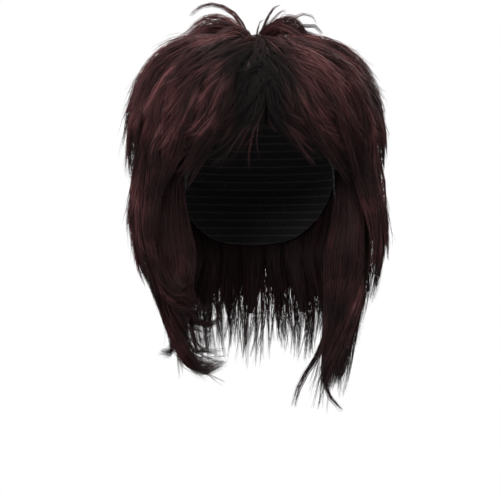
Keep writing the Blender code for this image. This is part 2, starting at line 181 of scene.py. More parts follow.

# Feathers, the short clumps laid over a layer: width, depth, how far their roots sink, where they
# start and how long they are as shares of a guide, how far their tips lift, sway at random and
# sway outwards on the fringe, the power with which they sway, what they lose in width, their tones,
# random and lighter than a clump's as painted highlight, and how full they are
FEATHER_WIDTH = 0.8
FEATHER_TIER = -0.02
SUNK_FEATHER = 0.0040
FEATHER_STARTS = (0.05, 0.58)
FEATHER_SPANS = (0.20, 0.40)
FEATHER_LIFTS = (0.0010, 0.0050)
FEATHER_SWAY = 0.0060
FRINGE_SWAY = 0.014
SWAY_POWER = 1.6
FEATHER_NARROWING = 0.5
FEATHER_TONES = (0.7, 2.0)
FEATHER_FILL = 0.6

# Wisps: strands in each clump, how far clumps drift apart, tones, how much of a strand's length
# lies in shade, how far its tip gathers, the shares that wisps have of the hair's own values, and
# the tones of the tufts, the curls and the stray wisps
WISP_STRANDS = 8
WISP_DRIFT = 0.5
WISP_TONES = (0.6, 1.4)
WISP_SHADED = 0.12
WISP_GATHER = 0.75
WISP_SHARES = {"Radius": 0.75, "Stray": 0.2, "Frizz": 0.45, "Trim": 0.5}
TUFT_TONE = 0.85
CURL_TONE = 0.35
STRAY_TONE = 0.28

# How far the tips of the nape's strands gather, and the share of the others' trim that they have
NAPE_GATHER = 0.30
NAPE_TRIM = 0.5

# A strand: the powers with which its luck, from 0 to 1, trims it and makes it wild, how much more
# a wild one frizzes, how unlike the frizz of two strands is, the share of its length over which
# its girth rises and what it rises from, the share that it loses to the tip, its full girth and
# what its luck takes of that, the share of its shade that is luck, where its light begins, as
# shares of its shaded length and of the parting's shade, and how many sides it has
TRIM_POWER = 1.5
WILD_POWER = 9.0
WILD_FRIZZ = 3.0
UNLIKENESS = 3.0
ROOT_RISE = 0.12
ROOT_GIRTH = 0.2
TIP_FALL = 0.85
FULL_GIRTH = 0.72
LUCK_GIRTH = 0.30
LUCK_SHADE = 0.42
LIT_START = 0.2
PARTING_CORE = 0.4
TUBE_SIDES = 3

# Materials: how fine the painted patches of shade, the streaks of the beds, the cells of the net
# and its rows are, the share of a strand's shade that its painted patch gives, how much darker
# than their colour the beds get as painted shade, and how much lighter the rows and the floor's
# grain get
PATCH_SCALE = 30.0
STREAK_SCALE = (48.0, 1.6, 1.0)
NET_SCALE = 420.0
WEFT_SCALE = 42.0
PATCH_SHADE = 0.25
BED_SHADE = 0.3
WEFT_LIGHT = 3.2
FLOOR_GRAIN = 1.04

Section = namedtuple("Section", "level drop right left front back")
OUTLINE = (
    Section(0.00, 0.000, 0.00, 0.00, 0.00, 0.00),
    Section(0.10, 0.004, 0.45, 0.42, 0.38, 0.38),
    Section(0.14, 0.012, 0.61, 0.56, 0.51, 0.51),
    Section(0.18, 0.031, 0.72, 0.68, 0.62, 0.62),
    Section(0.26, 0.086, 0.87, 0.84, 0.80, 0.78),
    Section(0.34, 0.158, 0.96, 0.94, 0.91, 0.89),
    Section(0.42, 0.247, 1.00, 0.99, 0.96, 0.97),
    Section(0.52, 0.375, 0.99, 0.97, 0.96, 1.00),
    Section(0.62, 0.494, 0.98, 0.99, 0.95, 0.94),
    Section(0.72, 0.612, 0.90, 0.94, 0.86, 0.82),
    Section(0.82, 0.725, 0.73, 0.83, 0.72, 0.70),
    Section(0.91, 0.847, 0.60, 0.72, 0.62, 0.66),
    Section(1.00, 1.000, 0.54, 0.64, 0.58, 0.70),
)
SCALP = (
    Section(0.00, 0.000, 0.00, 0.00, 0.00, 0.00),
    Section(0.10, 0.040, 0.42, 0.42, 0.42, 0.42),
    Section(0.18, 0.097, 0.64, 0.64, 0.64, 0.64),
    Section(0.26, 0.157, 0.79, 0.79, 0.79, 0.79),
    Section(0.34, 0.225, 0.90, 0.90, 0.90, 0.90),
    Section(0.42, 0.303, 0.97, 0.97, 0.97, 0.97),
    Section(0.52, 0.418, 1.00, 1.00, 1.00, 1.00),
    Section(0.62, 0.575, 0.94, 0.94, 0.95, 0.84),
    Section(0.72, 0.754, 0.80, 0.80, 0.80, 0.65),
    Section(0.82, 0.930, 0.75, 0.75, 0.60, 0.58),
    Section(0.91, 1.118, 0.75, 0.75, 0.56, 0.58),
    Section(1.00, 1.367, 0.72, 0.76, 0.54, 0.64),
)

# Where one layer of hair ends and the next lies on it, as depths
Bed = namedtuple("Bed", "level depth")
UPPER_BED = (
    Bed(0.00, 0.00),
    Bed(SIDE_ROOT - 0.05, 0.00),
    Bed(SIDE_ROOT + 0.08, 0.62),
    Bed(SIDE_ROOT + 0.22, 0.80),
    Bed(SIDE_ROOT + 0.32, 0.91),
    Bed(SIDE_ROOT + 0.42, 1.00),
    Bed(1.00, 1.00),
)
LOWER_BED = (
    Bed(0.00, 0.00),
    Bed(UNDER_ROOT - 0.05, 0.00),
    Bed(UNDER_ROOT + 0.07, 0.45),
    Bed(UNDER_ROOT + 0.17, 0.66),
    Bed(UNDER_ROOT + 0.27, 0.84),
    Bed(UNDER_ROOT + 0.37, 0.95),
    Bed(UNDER_ROOT + 0.47, 1.00),
    Bed(1.00, 1.00),
)
CROWN_TOP = (
    Bed(0.00, 0.45),
    Bed(CROWN_ROOT, 0.62),
    Bed(CROWN_ROOT + 0.06, 0.97),
    Bed(CROWN_ROOT + 0.11, 1.00),
    Bed(1.00, 1.00),
)
SCALP_BED = (Bed(0.00, 0.00), Bed(1.00, 0.00))

# A lock: share of its panel's width, lean from straight down and added turn of its end, in
# degrees towards a higher angle, length as a share of its panel's, and lift of its end off the
# bed as a share of that length
Lock = namedtuple("Lock", "share lean turn length lift")
FRINGE_LOCKS = (
    Lock(0.26, -2, 8, 0.92, 0.03),
    Lock(0.24, -20, -14, 1.06, 0.02),
    Lock(0.26, -26, -22, 1.04, 0.00),
    Lock(0.24, -25, -30, 0.88, 0.00),
    Lock(0.22, 34, 12, 0.82, 0.00),
    Lock(0.25, 32, 16, 1.02, 0.00),
    Lock(0.27, 24, 12, 1.08, 0.02),
    Lock(0.26, 2, -8, 0.94, 0.03),
)
CROWN_LOCKS = (
    Lock(0.080, 7, -4, 0.90, 0.03),
    Lock(0.095, 6, 14, 1.04, 0.05),
    Lock(0.075, 3, -10, 0.86, 0.03),
    Lock(0.090, 0, 12, 1.08, 0.06),
    Lock(0.075, -3, -10, 0.94, 0.05),
    Lock(0.085, 2, 10, 1.04, 0.05),
    Lock(0.078, -2, -10, 1.00, 0.05),
    Lock(0.088, 3, 10, 0.92, 0.05),
    Lock(0.075, 0, -12, 1.08, 0.06),
    Lock(0.092, -3, 10, 0.86, 0.03),
    Lock(0.078, -6, -14, 1.02, 0.02),
    Lock(0.089, -7, 4, 0.92, 0.02),
)
SIDE_LOCKS_LEFT = (
    Lock(0.22, -4, 8, 0.86, 0.05),
    Lock(0.28, 5, -10, 1.08, 0.08),
    Lock(0.24, -3, 10, 0.92, 0.06),
    Lock(0.26, 2, -8, 1.04, 0.04),
)
SIDE_LOCKS_RIGHT = (
    Lock(0.24, -2, 8, 1.04, 0.04),
    Lock(0.22, 3, -8, 0.92, 0.03),
    Lock(0.30, 6, 12, 1.08, 0.03),
    Lock(0.24, 8, 10, 0.86, 0.03),
)
BACK_LOCKS = (
    Lock(0.16, 0, 12, 1.02, 0.06),
    Lock(0.19, 3, -10, 0.90, 0.05),
    Lock(0.14, -2, 10, 1.08, 0.07),
    Lock(0.18, 2, -10, 1.00, 0.07),
    Lock(0.15, -3, 10, 0.90, 0.05),
    Lock(0.18, 0, -12, 1.04, 0.06),
)
UNDER_LOCKS_LEFT = (
    Lock(0.32, -34, 24, 1.24, 0.02),
    Lock(0.28, -12, 60, 1.14, 0.05),
    Lock(0.23, 2, -14, 1.02, 0.02),
    Lock(0.17, 2, 6, 0.78, 0.03),
)
UNDER_LOCKS_RIGHT = (
    Lock(0.22, -6, -46, 0.66, 0.34),
    Lock(0.20, 4, 44, 1.00, 0.03),
    Lock(0.36, 14, 106, 1.28, 0.04),
    Lock(0.22, 30, 100, 0.74, 0.10),
)
NAPE_LOCKS = (
    Lock(0.135, 4, -12, 0.86, 0.05),
    Lock(0.150, -3, 12, 1.02, 0.09),
    Lock(0.130, 3, -10, 0.92, 0.06),
    Lock(0.160, 0, 8, 1.06, 0.10),
    Lock(0.135, -3, 10, 0.90, 0.06),
    Lock(0.150, 3, -12, 1.04, 0.09),
    Lock(0.140, -4, 12, 0.86, 0.05),
)


@functools.lru_cache(maxsize=None)
def curve_of(table, column):
    """A table's levels, a column's values there and its slopes, which keep its rises and falls."""
    x = [float(row[0]) for row in table]
    y = [float(getattr(row, column)) for row in table]
    width = [b - a for a, b in zip(x, x[1:])]
    rise = [(b - a) / w for a, b, w in zip(y, y[1:], width)]
    slope = [rise[0], *([0.0] * (len(x) - 2)), rise[-1]]
    for i in range(1, len(x) - 1):
        if rise[i - 1] * rise[i] > 0:
            before = 2 * width[i] + width[i - 1]
            after = width[i] + 2 * width[i - 1]
            slope[i] = (before + after) / (before / rise[i - 1] + after / rise[i])
    return x, y, slope


def smooth(table, column, at):
    """A column of a table between its rows, on a smooth curve that goes on straight below it."""
    x, y, slope = curve_of(table, column)
    if at > x[-1]:
        return y[-1] + slope[-1] * (at - x[-1])
    k = min(max(bisect.bisect_right(x, at) - 1, 0), len(x) - 2)
    width = x[k + 1] - x[k]
    t = min(max((at - x[k]) / width, 0.0), 1.0)
    value = (1 + 2 * t) * (1 - t) ** 2 * y[k] + t * t * (3 - 2 * t) * y[k + 1]
    return value + width * t * (1 - t) * ((1 - t) * slope[k] - t * slope[k + 1])


def form_point(form, angle, level, top, height, right, left, front, back):
    """Where a form's section at this level has this angle."""
    turn = math.radians(angle)
    across, ahead = math.sin(turn), math.cos(turn)
    side = left * smooth(form, "left", level) if across > 0 else right * smooth(form, "right", level)
    reach = front * smooth(form, "front", level) if ahead > 0 else back * smooth(form, "back", level)
    return np.array([side * across, -reach * ahead, top - height * smooth(form, "drop", level)])


def scalp_point(angle, level):
    half_breadth = HEAD_BREADTH / 2 + CAP_WALL
    half_length = HEAD_LENGTH / 2 + CAP_WALL
    return form_point(
        SCALP, angle, level, CAP_WALL, HEAD_HEIGHT, half_breadth, half_breadth, half_length, half_length
    )


def outline_point(angle, level):
    return form_point(
        OUTLINE,
        angle,
        level,
        CROWN_LIFT,
        CROWN_LIFT + HAIR_DROP,
        HEAD_BREADTH / 2 + RIGHT_FULLNESS,
        HEAD_BREADTH / 2 + LEFT_FULLNESS,
        HEAD_LENGTH / 2 + FRONT_FULLNESS,
        HEAD_LENGTH / 2 + BACK_FULLNESS,
    )


def metres_per_turn(angle, level):
    """How far the outline moves for one radian of angle and for one unit of level."""
    here = outline_point(angle, level)
    turned = outline_point(angle + math.degrees(SLOPE_STEP), level)
    lower = outline_point(angle, level + SLOPE_STEP)
    return (
        float(np.linalg.norm(turned - here)) / SLOPE_STEP,
        float(np.linalg.norm(lower - here)) / SLOPE_STEP,
    )


# A panel of hair between two angles: where it is rooted, where its locks part, the depths of its
# inner and outer face, its locks, and how long they are. comb says how its roots lie. clumps is
# the number of clumps across a lock, tiers their depths as shares of the panel's thickness, and
# strands the number of strands in each. ragged is how much of a lock's width its tips keep,
# feathers the number of short clumps laid over it, tone how light its fibre is, lower on the
# under and nape layers, which lie beneath the others, as painted shade, and shaded the share of
# a strand's length, from its root, that lies in painted shade.
Panel = namedtuple(
    "Panel",
    "start end root split bed cover locks length comb clumps tiers strands ragged feathers tone shaded",
)
SIDE_BAND = (SIDE_ROOT, SIDE_SPLIT, LOWER_BED, UPPER_BED)
UNDER_BAND = (UNDER_ROOT, UNDER_SPLIT, SCALP_BED, LOWER_BED)
SIDE_HAIR = (SIDE_LENGTH, "straight", 6, (0.08, 0.40), 19, 0.40, 40, 0.60, 0.16)
BACK_HAIR = (SIDE_LENGTH, "straight", 6, (0.08, 0.40), 18, 0.42, 60, 0.54, 0.18)
UNDER_HAIR = (UNDER_LENGTH, "straight", 7, (0.08, 0.46, 0.84), 22, 0.30, 30, 0.40, 0.22)
NAPE_HAIR = (NAPE_LENGTH, "straight", 8, (0.10, 0.50, 0.84), 18, 0.75, 60, 0.40, 0.22)
PANELS = {
    "fringe": Panel(
        -FRINGE_SIDE, FRINGE_SIDE, WHORL_ROOT, FRINGE_SPLIT, SCALP_BED, CROWN_TOP, FRINGE_LOCKS,
        FRINGE_LENGTH, "parted", 9, (0.04, 0.26), 20, 0.45, 160, 0.56, 0.30,
    ),
    "crown_layer": Panel(
        FRINGE_SIDE, 360 - FRINGE_SIDE, WHORL_ROOT, CROWN_SPLIT, UPPER_BED, CROWN_TOP, CROWN_LOCKS,
        CROWN_LENGTH, "swept", 6, (0.06, 0.40), 20, 0.42, 170, 0.66, 0.07,
    ),
    "side_layer_left": Panel(FRINGE_SIDE, NAPE_SIDE, *SIDE_BAND, SIDE_LOCKS_LEFT, *SIDE_HAIR),
    "side_layer_right": Panel(-NAPE_SIDE, -FRINGE_SIDE, *SIDE_BAND, SIDE_LOCKS_RIGHT, *SIDE_HAIR),
    "back_layer": Panel(NAPE_SIDE, 360 - NAPE_SIDE, *SIDE_BAND, BACK_LOCKS, *BACK_HAIR),
    "under_layer_left": Panel(UNDER_FRONT, NAPE_SIDE, *UNDER_BAND, UNDER_LOCKS_LEFT, *UNDER_HAIR),
    "under_layer_right": Panel(-NAPE_SIDE, -UNDER_FRONT, *UNDER_BAND, UNDER_LOCKS_RIGHT, *UNDER_HAIR),
    "nape_layer": Panel(NAPE_SIDE, 360 - NAPE_SIDE, *UNDER_BAND, NAPE_LOCKS, *NAPE_HAIR),
}

# Wisps that the locks don't make: how far their strands lie to each side, their number, and the
# points of their middle from root to tip, all lengths in millimetres, of which a metre has
MILLIMETRES = 1000
Wisp = namedtuple("Wisp", "spread strands points")
TUFT_WISPS_RIGHT = (
    Wisp(4.6, 72, ((-7, -8, 27), (-18, -14, 35), (-31, -18, 40), (-45, -20, 41), (-59, -20, 37),
        (-71, -18, 30))),
    Wisp(4.4, 56, ((-8, -4, 27), (-20, -6, 37), (-34, -6, 42), (-49, -6, 42), (-63, -6, 37),
        (-76, -6, 29))),
    Wisp(4.8, 48, ((-6, -8, 28), (-12, -14, 38), (-22, -18, 44), (-34, -20, 46), (-46, -20, 43),
        (-58, -18, 35))),
    Wisp(2.2, 34, ((-7, -6, 30), (-13, -10, 46), (-22, -12, 58), (-35, -12, 66), (-47, -10, 67),
        (-58, -8, 62), (-63, -6, 56))),
    Wisp(3.6, 54, ((-8, -6, 29), (-14, -12, 42), (-24, -16, 50), (-36, -16, 55), (-48, -14, 54),
        (-59, -12, 47), (-67, -10, 38))),
    Wisp(4.4, 54, ((-9, -8, 28), (-17, -18, 40), (-29, -22, 47), (-42, -22, 49), (-55, -20, 44),
        (-65, -18, 34))),
    Wisp(4.2, 44, ((-8, 2, 29), (-16, 8, 42), (-28, 12, 50), (-42, 14, 52), (-54, 14, 46),
        (-63, 12, 36))),
    Wisp(4, 36, ((-6, -12, 29), (-12, -26, 39), (-22, -36, 42), (-34, -44, 38), (-44, -50, 29))),
    Wisp(4.4, 36, ((-6, 10, 29), (-14, 24, 40), (-24, 36, 42), (-36, 46, 36), (-44, 52, 27))),
)
TUFT_WISPS_LEFT = (
    Wisp(4.4, 64, ((3, -8, 27), (12, -14, 36), (23, -18, 41), (35, -18, 41), (47, -18, 37),
        (58, -16, 31))),
    Wisp(4.4, 48, ((5, -4, 27), (16, -6, 37), (29, -8, 41), (43, -8, 40), (56, -8, 36), (68, -6, 29))),
    Wisp(2.6, 20, ((6, -12, 30), (10, -18, 44), (20, -20, 53), (31, -20, 50), (32, -20, 41),
        (24, -20, 37))),
    Wisp(2.6, 18, ((16, -16, 36), (16, -20, 47), (24, -20, 55), (34, -18, 55), (40, -16, 46),
        (35, -16, 40))),
    Wisp(3, 20, ((46, -12, 36), (36, -16, 49), (25, -16, 53), (15, -16, 48), (12, -14, 40))),
    Wisp(4.4, 48, ((0, -6, 28), (4, -12, 39), (11, -16, 45), (20, -18, 46), (29, -18, 42),
        (36, -18, 36))),
    Wisp(1.2, 7, ((-1, -6, 29), (-1, -10, 42), (1, -12, 51), (6, -12, 54))),
    Wisp(2, 14, ((1, -6, 29), (5, -10, 44), (10, -12, 56), (16, -11, 65), (21, -10, 66))),
    Wisp(2.4, 20, ((2, -4, 29), (8, -8, 46), (17, -10, 56), (25, -9, 63), (27, -8, 60))),
    Wisp(3.6, 52, ((3, -8, 29), (8, -14, 43), (17, -18, 51), (28, -18, 53), (38, -16, 50),
        (43, -14, 41))),
    Wisp(4.2, 46, ((3, -10, 28), (11, -20, 41), (22, -26, 47), (34, -26, 46), (44, -24, 38))),
    Wisp(4, 44, ((4, 0, 29), (12, 6, 43), (24, 10, 51), (37, 12, 49), (48, 12, 42), (57, 10, 36))),
    Wisp(1.4, 6, ((24, -8, 46), (33, -10, 55), (42, -10, 59), (51, -9, 57), (55, -8, 49))),
    Wisp(2.2, 14, ((32, -8, 40), (43, -10, 48), (53, -10, 48), (61, -9, 40))),
    Wisp(4.2, 34, ((3, -14, 28), (8, -28, 38), (18, -38, 42), (30, -46, 36), (38, -50, 28))),
    Wisp(4.4, 34, ((4, 12, 28), (10, 26, 39), (21, 38, 42), (33, 48, 34), (40, 52, 26))),
)
CURL_WISPS_RIGHT = (
    Wisp(4.6, 200, ((-90, -10, -175), (-83, -13, -212), (-74, -17, -240), (-64, -20, -258),
        (-52, -22, -267), (-41, -23, -264))),
    Wisp(4.4, 240, ((-94, -12, -170), (-89, -16, -205), (-80, -20, -235), (-70, -24, -258),
        (-57, -26, -271), (-43, -27, -270), (-33, -27, -260))),
    Wisp(3.4, 130, ((-84, -18, -165), (-77, -24, -195), (-66, -28, -216), (-54, -31, -228),
        (-42, -32, -228), (-34, -32, -221))),
    Wisp(3.2, 80, ((-80, -22, -165), (-68, -28, -190), (-57, -32, -207), (-50, -34, -216),
        (-46, -34, -208))),
    Wisp(2.4, 34, ((-68, -24, -205), (-62, -28, -228), (-60, -30, -244), (-55, -31, -254),
        (-48, -31, -250), (-44, -31, -240))),
    Wisp(3.4, 160, ((-98, -4, -185), (-88, -6, -215), (-79, -8, -238), (-78, -9, -252),
        (-84, -9, -258), (-90, -8, -252))),
)
CURL_WISPS_LEFT = (
    Wisp(8, 240, ((82, -8, -185), (80, -10, -215), (77, -12, -243), (71, -13, -266), (64, -14, -285))),
    Wisp(5.6, 136, ((68, -16, -205), (64, -18, -232), (62, -19, -254), (62, -19, -272),
        (64, -18, -288))),
    Wisp(6, 96, ((86, -4, -190), (83, -7, -222), (78, -9, -250), (74, -10, -270), (71, -11, -284))),
    Wisp(3, 54, ((74, -14, -200), (62, -18, -240), (52, -20, -262), (42, -21, -276), (35, -21, -292),
        (33, -20, -305))),
    Wisp(3.4, 60, ((80, -10, -205), (70, -14, -245), (60, -17, -272), (62, -18, -290), (70, -18, -302),
        (78, -17, -309))),
    Wisp(3.6, 54, ((88, -6, -205), (84, -9, -240), (82, -11, -262), (78, -12, -276), (72, -12, -284))),
)
STRAY_WISPS = (
    Wisp(3, 64, ((78, 4, 16), (97, 2, -2), (108, 0, -21), (114, -2, -36), (116, -3, -46),
        (113, -3, -55))),
    Wisp(1.6, 12, ((112, -6, -68), (118, -6, -94), (120, -5, -122), (118, -4, -146), (113, -3, -167))),
    Wisp(0.8, 8, ((-6, -98, -30), (-11, -108, -56), (-16, -110, -78), (-14, -107, -94))),
    Wisp(1.2, 8, ((-4, -98, -26), (-12, -107, -50), (-21, -109, -66), (-28, -106, -80))),
    Wisp(1.2, 8, ((-4, -98, -26), (-16, -107, -50), (-28, -109, -68), (-37, -106, -84))),
    Wisp(0.8, 8, ((2, -98, -28), (-6, -108, -48), (-14, -110, -64), (-21, -108, -75))),
    Wisp(0.6, 8, ((0, -98, -28), (-7, -108, -50), (-9, -111, -68), (-6, -109, -82))),
    Wisp(1.2, 8, ((10, -98, -28), (20, -107, -54), (33, -108, -74), (44, -104, -87))),
    Wisp(1, 8, ((8, -98, -28), (16, -107, -48), (26, -109, -64), (35, -107, -76))),
)

# The middle of a clump and the vectors across and out of it at each point, how light its strands
# are, and what share of the full number it has
Guide = namedtuple("Guide", "middles across outward tone fill")


def swept_edge(level):
    """The angle where the fringe ends and the crown layer begins, which closes in on the whorl."""
    down = min(max((level - WHORL_ROOT) / (FRINGE_SPLIT - WHORL_ROOT), 0.0), 1.0)
    return FRINGE_SIDE * (1 - (1 - down) ** SWEEP)


def combed_angle(panel, angle, level, root):
    """The angle at a level above the locks of a strand that has this angle where they part."""
    if panel.comb == "straight":
        return angle
    if panel.comb == "swept":
        return 180 + (angle - 180) * (180 - swept_edge(level)) / (180 - FRINGE_SIDE)
    down = min(max((level - root) / (panel.split - root), 0.0), 1.0)
    straight = 1 - abs(angle) / FRINGE_SIDE
    return angle * (straight * down + (1 - straight) * (1 - (1 - down) ** SWEEP))


def lock_line(panel, number, lock, root, crossing=0.0):
    """The middle of a lock from its root to its tip, as rows of angle, level, half width and free.

    free is 0 down to where the locks part, and then rises to 1 at the tip. crossing is the turn
    by which the root lies beside its place.
    """
    ends = np.concatenate([[0.0], np.cumsum([item.share for item in panel.locks])])
    ends = ends / ends[-1]
    span = panel.end - panel.start
    angle = panel.start + span * (ends[number] + ends[number + 1]) / 2
    sector = (ends[number + 1] - ends[number]) * math.radians(span) / 2
    half = sector * metres_per_turn(angle, panel.split)[0]
    rows = []
    for point in range(BAND_POINTS):
        down = point / BAND_POINTS
        level = root + (panel.split - root) * down
        combed = combed_angle(panel, angle, level, root) + crossing * (1 - down) ** CROSSING_FADE
        width = sector * metres_per_turn(combed, level)[0]
        if panel.comb == "parted":
            width = half * (PARTED_WIDTH + (1 - PARTED_WIDTH) * down)
        elif panel.comb == "swept":
            width = width * (180 - swept_edge(level)) / (180 - FRINGE_SIDE)
        rows.append((combed, level, width, 0.0))
    level = panel.split
    step = lock.length * panel.length / FREE_POINTS
    for point in range(FREE_POINTS + 1):
        free = point / FREE_POINTS
        heading = math.radians(lock.lean * min(1.0, LEAN_RATE * free) + lock.turn * free**2)
        per_turn, per_level = metres_per_turn(angle, level)
        rows.append((angle, level, half * (1 - (1 - panel.ragged) * free**LOCK_TAPER), free))
        angle += math.degrees(step * math.sin(heading) / per_turn)
        level += step * math.cos(heading) / per_level
    return rows


def heading_of(rows, i):
    """The direction of a lock's middle at a row, in radians from straight down."""
    before, after = rows[max(i - 1, 0)], rows[min(i + 1, len(rows) - 1)]
    per_turn, per_level = metres_per_turn(rows[i][0], rows[i][1])
    return math.atan2(math.radians(after[0] - before[0]) * per_turn, (after[1] - before[1]) * per_level)


def lock_faces(panel, lock, angle, level, free):
    """The heights of a lock's inner and outer face above the scalp."""
    thick = float(np.linalg.norm(outline_point(angle, level) - scalp_point(angle, level)))
    lower = smooth(panel.bed, "depth", level) * thick + CAP_CLEARANCE
    top = smooth(panel.cover, "depth", level) * thick
    full = max(top - lower, TIP_THICKNESS)
    body = max(TIP_THICKNESS, full * (1 - free**LOCK_THINNING))
    top += lock.lift * lock.length * panel.length * free**2
    return top - body, top


def height_point(angle, level, height):
    """A point this high above the scalp, towards the outline."""
    base = scalp_point(angle, level)
    rise = outline_point(angle, level) - base
    return base + rise / np.linalg.norm(rise) * height


def place_on(rows, i, across, height):
    """A point of a lock's row, across it by a share of its half width."""
    angle, level, half, _free = rows[i]
    per_turn, per_level = metres_per_turn(angle, level)
    heading = heading_of(rows, i)
    turned = angle + math.degrees(across * half * math.cos(heading) / per_turn)
    lowered = level - across * half * math.sin(heading) / per_level
    return height_point(turned, lowered, height)


def clump_guide(panel, number, lock, root, crossing, place, width, tier):
    """A guide down a clump: its middle, half across and half through it at each row.

    place runs from -1 to 1 across the lock, width is the clump's half width as a share of the
    lock's, and tier its depth as a share of the panel's thickness.
    """
    rows = lock_line(panel, number, lock, root, crossing)
    middles, across, outward = [], [], []
    for i, (angle, level, _half, free) in enumerate(rows):
        inner, top = lock_faces(panel, lock, angle, level, free)
        body = top - inner
        sunk = SUNK_ROOT * (1 - min(1.0, i / SUNK_POINTS)) ** 2 * body
        groove = STRAND_GROOVE * min(GROOVE_DEPTH, GROOVE_ROOM * body) * place**2
        height = top - sunk - groove * min(1.0, i / BAND_POINTS) - tier * body
        middles.append(place_on(rows, i, place, height))
        side = place_on(rows, i, place + width, height) - place_on(rows, i, place - width, height)
        across.append(side / 2 * (1 - CLUMP_NARROWING * free))
        out = outline_point(angle, level) - scalp_point(angle, level)
        thin = min(CLUMP_DEPTH * body, (1.0 - tier) * body, LARGEST_DEPTH)
        thin *= 1 - CLUMP_THINNING * free
        outward.append(out / np.linalg.norm(out) * thin)
    return np.array(middles), np.array(across), np.array(outward)


def feather_parts(parts, start, end, lift, sway):
    """A short clump laid over a guide from start to end, shares of it, whose tip lifts and sways."""
    along = np.linspace(0.0, 1.0, len(parts[0]))
    share = np.linspace(0.0, 1.0, FEATHER_POINTS)
    at = start + (end - start) * share
    middles, across, outward = [
        np.stack([np.interp(at, along, part[:, axis]) for axis in range(3)], axis=1) for part in parts
    ]
    out = outward / np.linalg.norm(outward, axis=1)[:, None]
    side = across / np.linalg.norm(across, axis=1)[:, None]
    rise = lift * share**2 - SUNK_FEATHER * (1 - share) ** 3
    middles = middles + out * rise[:, None] + side * (sway * share**SWAY_POWER)[:, None]
    return middles, across * (1 - FEATHER_NARROWING * share)[:, None], outward


def stray_lock(lock, random):
    """A lock that strays a little from its own way."""
    return lock._replace(
        lean=lock.lean + random.normal(0, STRAY_LEAN),
        turn=lock.turn + random.normal(0, STRAY_TURN),
        length=lock.length * random.uniform(*STRAY_LENGTHS),
        lift=lock.lift * random.uniform(*STRAY_LIFTS),
    )


def root_level(panel, number, random):
    """Where a clump is rooted: the fringe springs from all the way down its parting."""
    if panel.comb != "parted":
        return panel.root
    middle = (len(panel.locks) - 1) / 2
    inner = 1 - abs(number - middle) / (middle + 0.5)
    reach = PARTING * (OUTER_PARTING + (1 - OUTER_PARTING) * inner)
    return panel.root + reach * random.uniform(0.0, 1.0) ** ROOT_CROWDING


def shadow(panel, number):
    """How much of its tone a lock keeps under painted shade, least beside the parting of the fringe."""
    if panel.comb != "parted":
        return 1.0
    middle = (len(panel.locks) - 1) / 2
    return PARTED_TONE + (1 - PARTED_TONE) * min(1.0, abs(number - middle) / middle)


def clump_guides(panel, random):
    """Guides side by side across each lock, and at each depth in it."""
    for number, lock in enumerate(panel.locks):
        for clump in range(panel.clumps):
            for tier in panel.tiers:
                stray_place = random.uniform(-CLUMP_STRAY, CLUMP_STRAY)
                place = (2 * clump + 1) / panel.clumps - 1 + stray_place / panel.clumps
                root = root_level(panel, number, random)
                crossing = random.normal(0, CROSSING[panel.comb])
                stray = stray_lock(lock, random)
                # Painted shade: deeper tiers are darker, and so are locks beside the fringe's parting
                tone = panel.tone * random.uniform(*CLUMP_TONES) * (1 - TIER_SHADE * tier)
                width = CLUMP_WIDTH / panel.clumps
                parts = clump_guide(panel, number, stray, root, crossing, place, width, tier)
                fill = OUTER_FILL if tier == panel.tiers[0] else INNER_FILL
                yield Guide(*parts, tone * shadow(panel, number), fill)


def edge_guides(panel, random):
    """Guides that close a straight panel's front and back edge from its outside to the scalp."""
    for number, place in ((0, -EDGE_PLACE), (len(panel.locks) - 1, EDGE_PLACE)):
        for tier in np.repeat(EDGE_TIERS, EDGE_CLUMPS) if panel.comb == "straight" else ():
            stray = stray_lock(panel.locks[number], random)
            parts = clump_guide(panel, number, stray, panel.root, 0.0, place, EDGE_WIDTH, tier)
            yield Guide(*parts, panel.tone * random.uniform(*EDGE_TONES), INNER_FILL)


def feather_guides(panel, random):
    """Guides of the feathers, which break up a layer's surface."""
    for _feather in range(panel.feathers):
        number = int(random.integers(len(panel.locks)))
        stray = stray_lock(panel.locks[number], random)
        root = root_level(panel, number, random)
        crossing = random.normal(0, CROSSING[panel.comb])
        place = random.uniform(-1.0, 1.0)
        width = FEATHER_WIDTH / panel.clumps
        parts = clump_guide(panel, number, stray, root, crossing, place, width, FEATHER_TIER)
        start = random.uniform(*FEATHER_STARTS)
        end = start + random.uniform(*FEATHER_SPANS)
        outwards = math.copysign(FRINGE_SWAY, 2 * number - len(panel.locks) + 1)
        sway = random.normal(outwards if panel.comb == "parted" else 0.0, FEATHER_SWAY)
        lift = random.uniform(*FEATHER_LIFTS)
        # Painted highlight: feathers reach lighter tones than the clumps under them
        tone = panel.tone * random.uniform(*FEATHER_TONES)
        yield Guide(*feather_parts(parts, start, end, lift, sway), tone, FEATHER_FILL)


def wisp_guide(wisp):
    """A guide through a wisp's points, with its strands spread round it."""
    points = np.array(wisp.points) / MILLIMETRES
    spread = wisp.spread / MILLIMETRES
    ahead = np.gradient(points, axis=0)
    across = np.cross(ahead, (0.0, -1.0, 0.0))
    across = across / np.linalg.norm(across, axis=1)[:, None] * spread
    outward = np.tile((0.0, -spread, 0.0), (len(points), 1))
    return points, across, outward


def wisp_guides(wisps, tone, random):
    """Guides of wisps. A fuller wisp has more of them, which drift apart towards the tip."""
    for wisp in wisps:
        middles, across, outward = wisp_guide(wisp)
        share = np.linspace(0.0, 1.0, len(middles))[:, None]
        for _clump in range(max(1, round(wisp.strands / WISP_STRANDS))):
            drift = random.normal(0, WISP_DRIFT, 2)
            drifted = middles + (across * drift[0] + outward * drift[1]) * share
            yield Guide(drifted, across, outward, tone * random.uniform(*WISP_TONES), 1.0)


def linked(name, data):
    """A new object in the scene with this data."""
    obj = bpy.data.objects.new(name, data)
    bpy.context.scene.collection.objects.link(obj)
    return obj


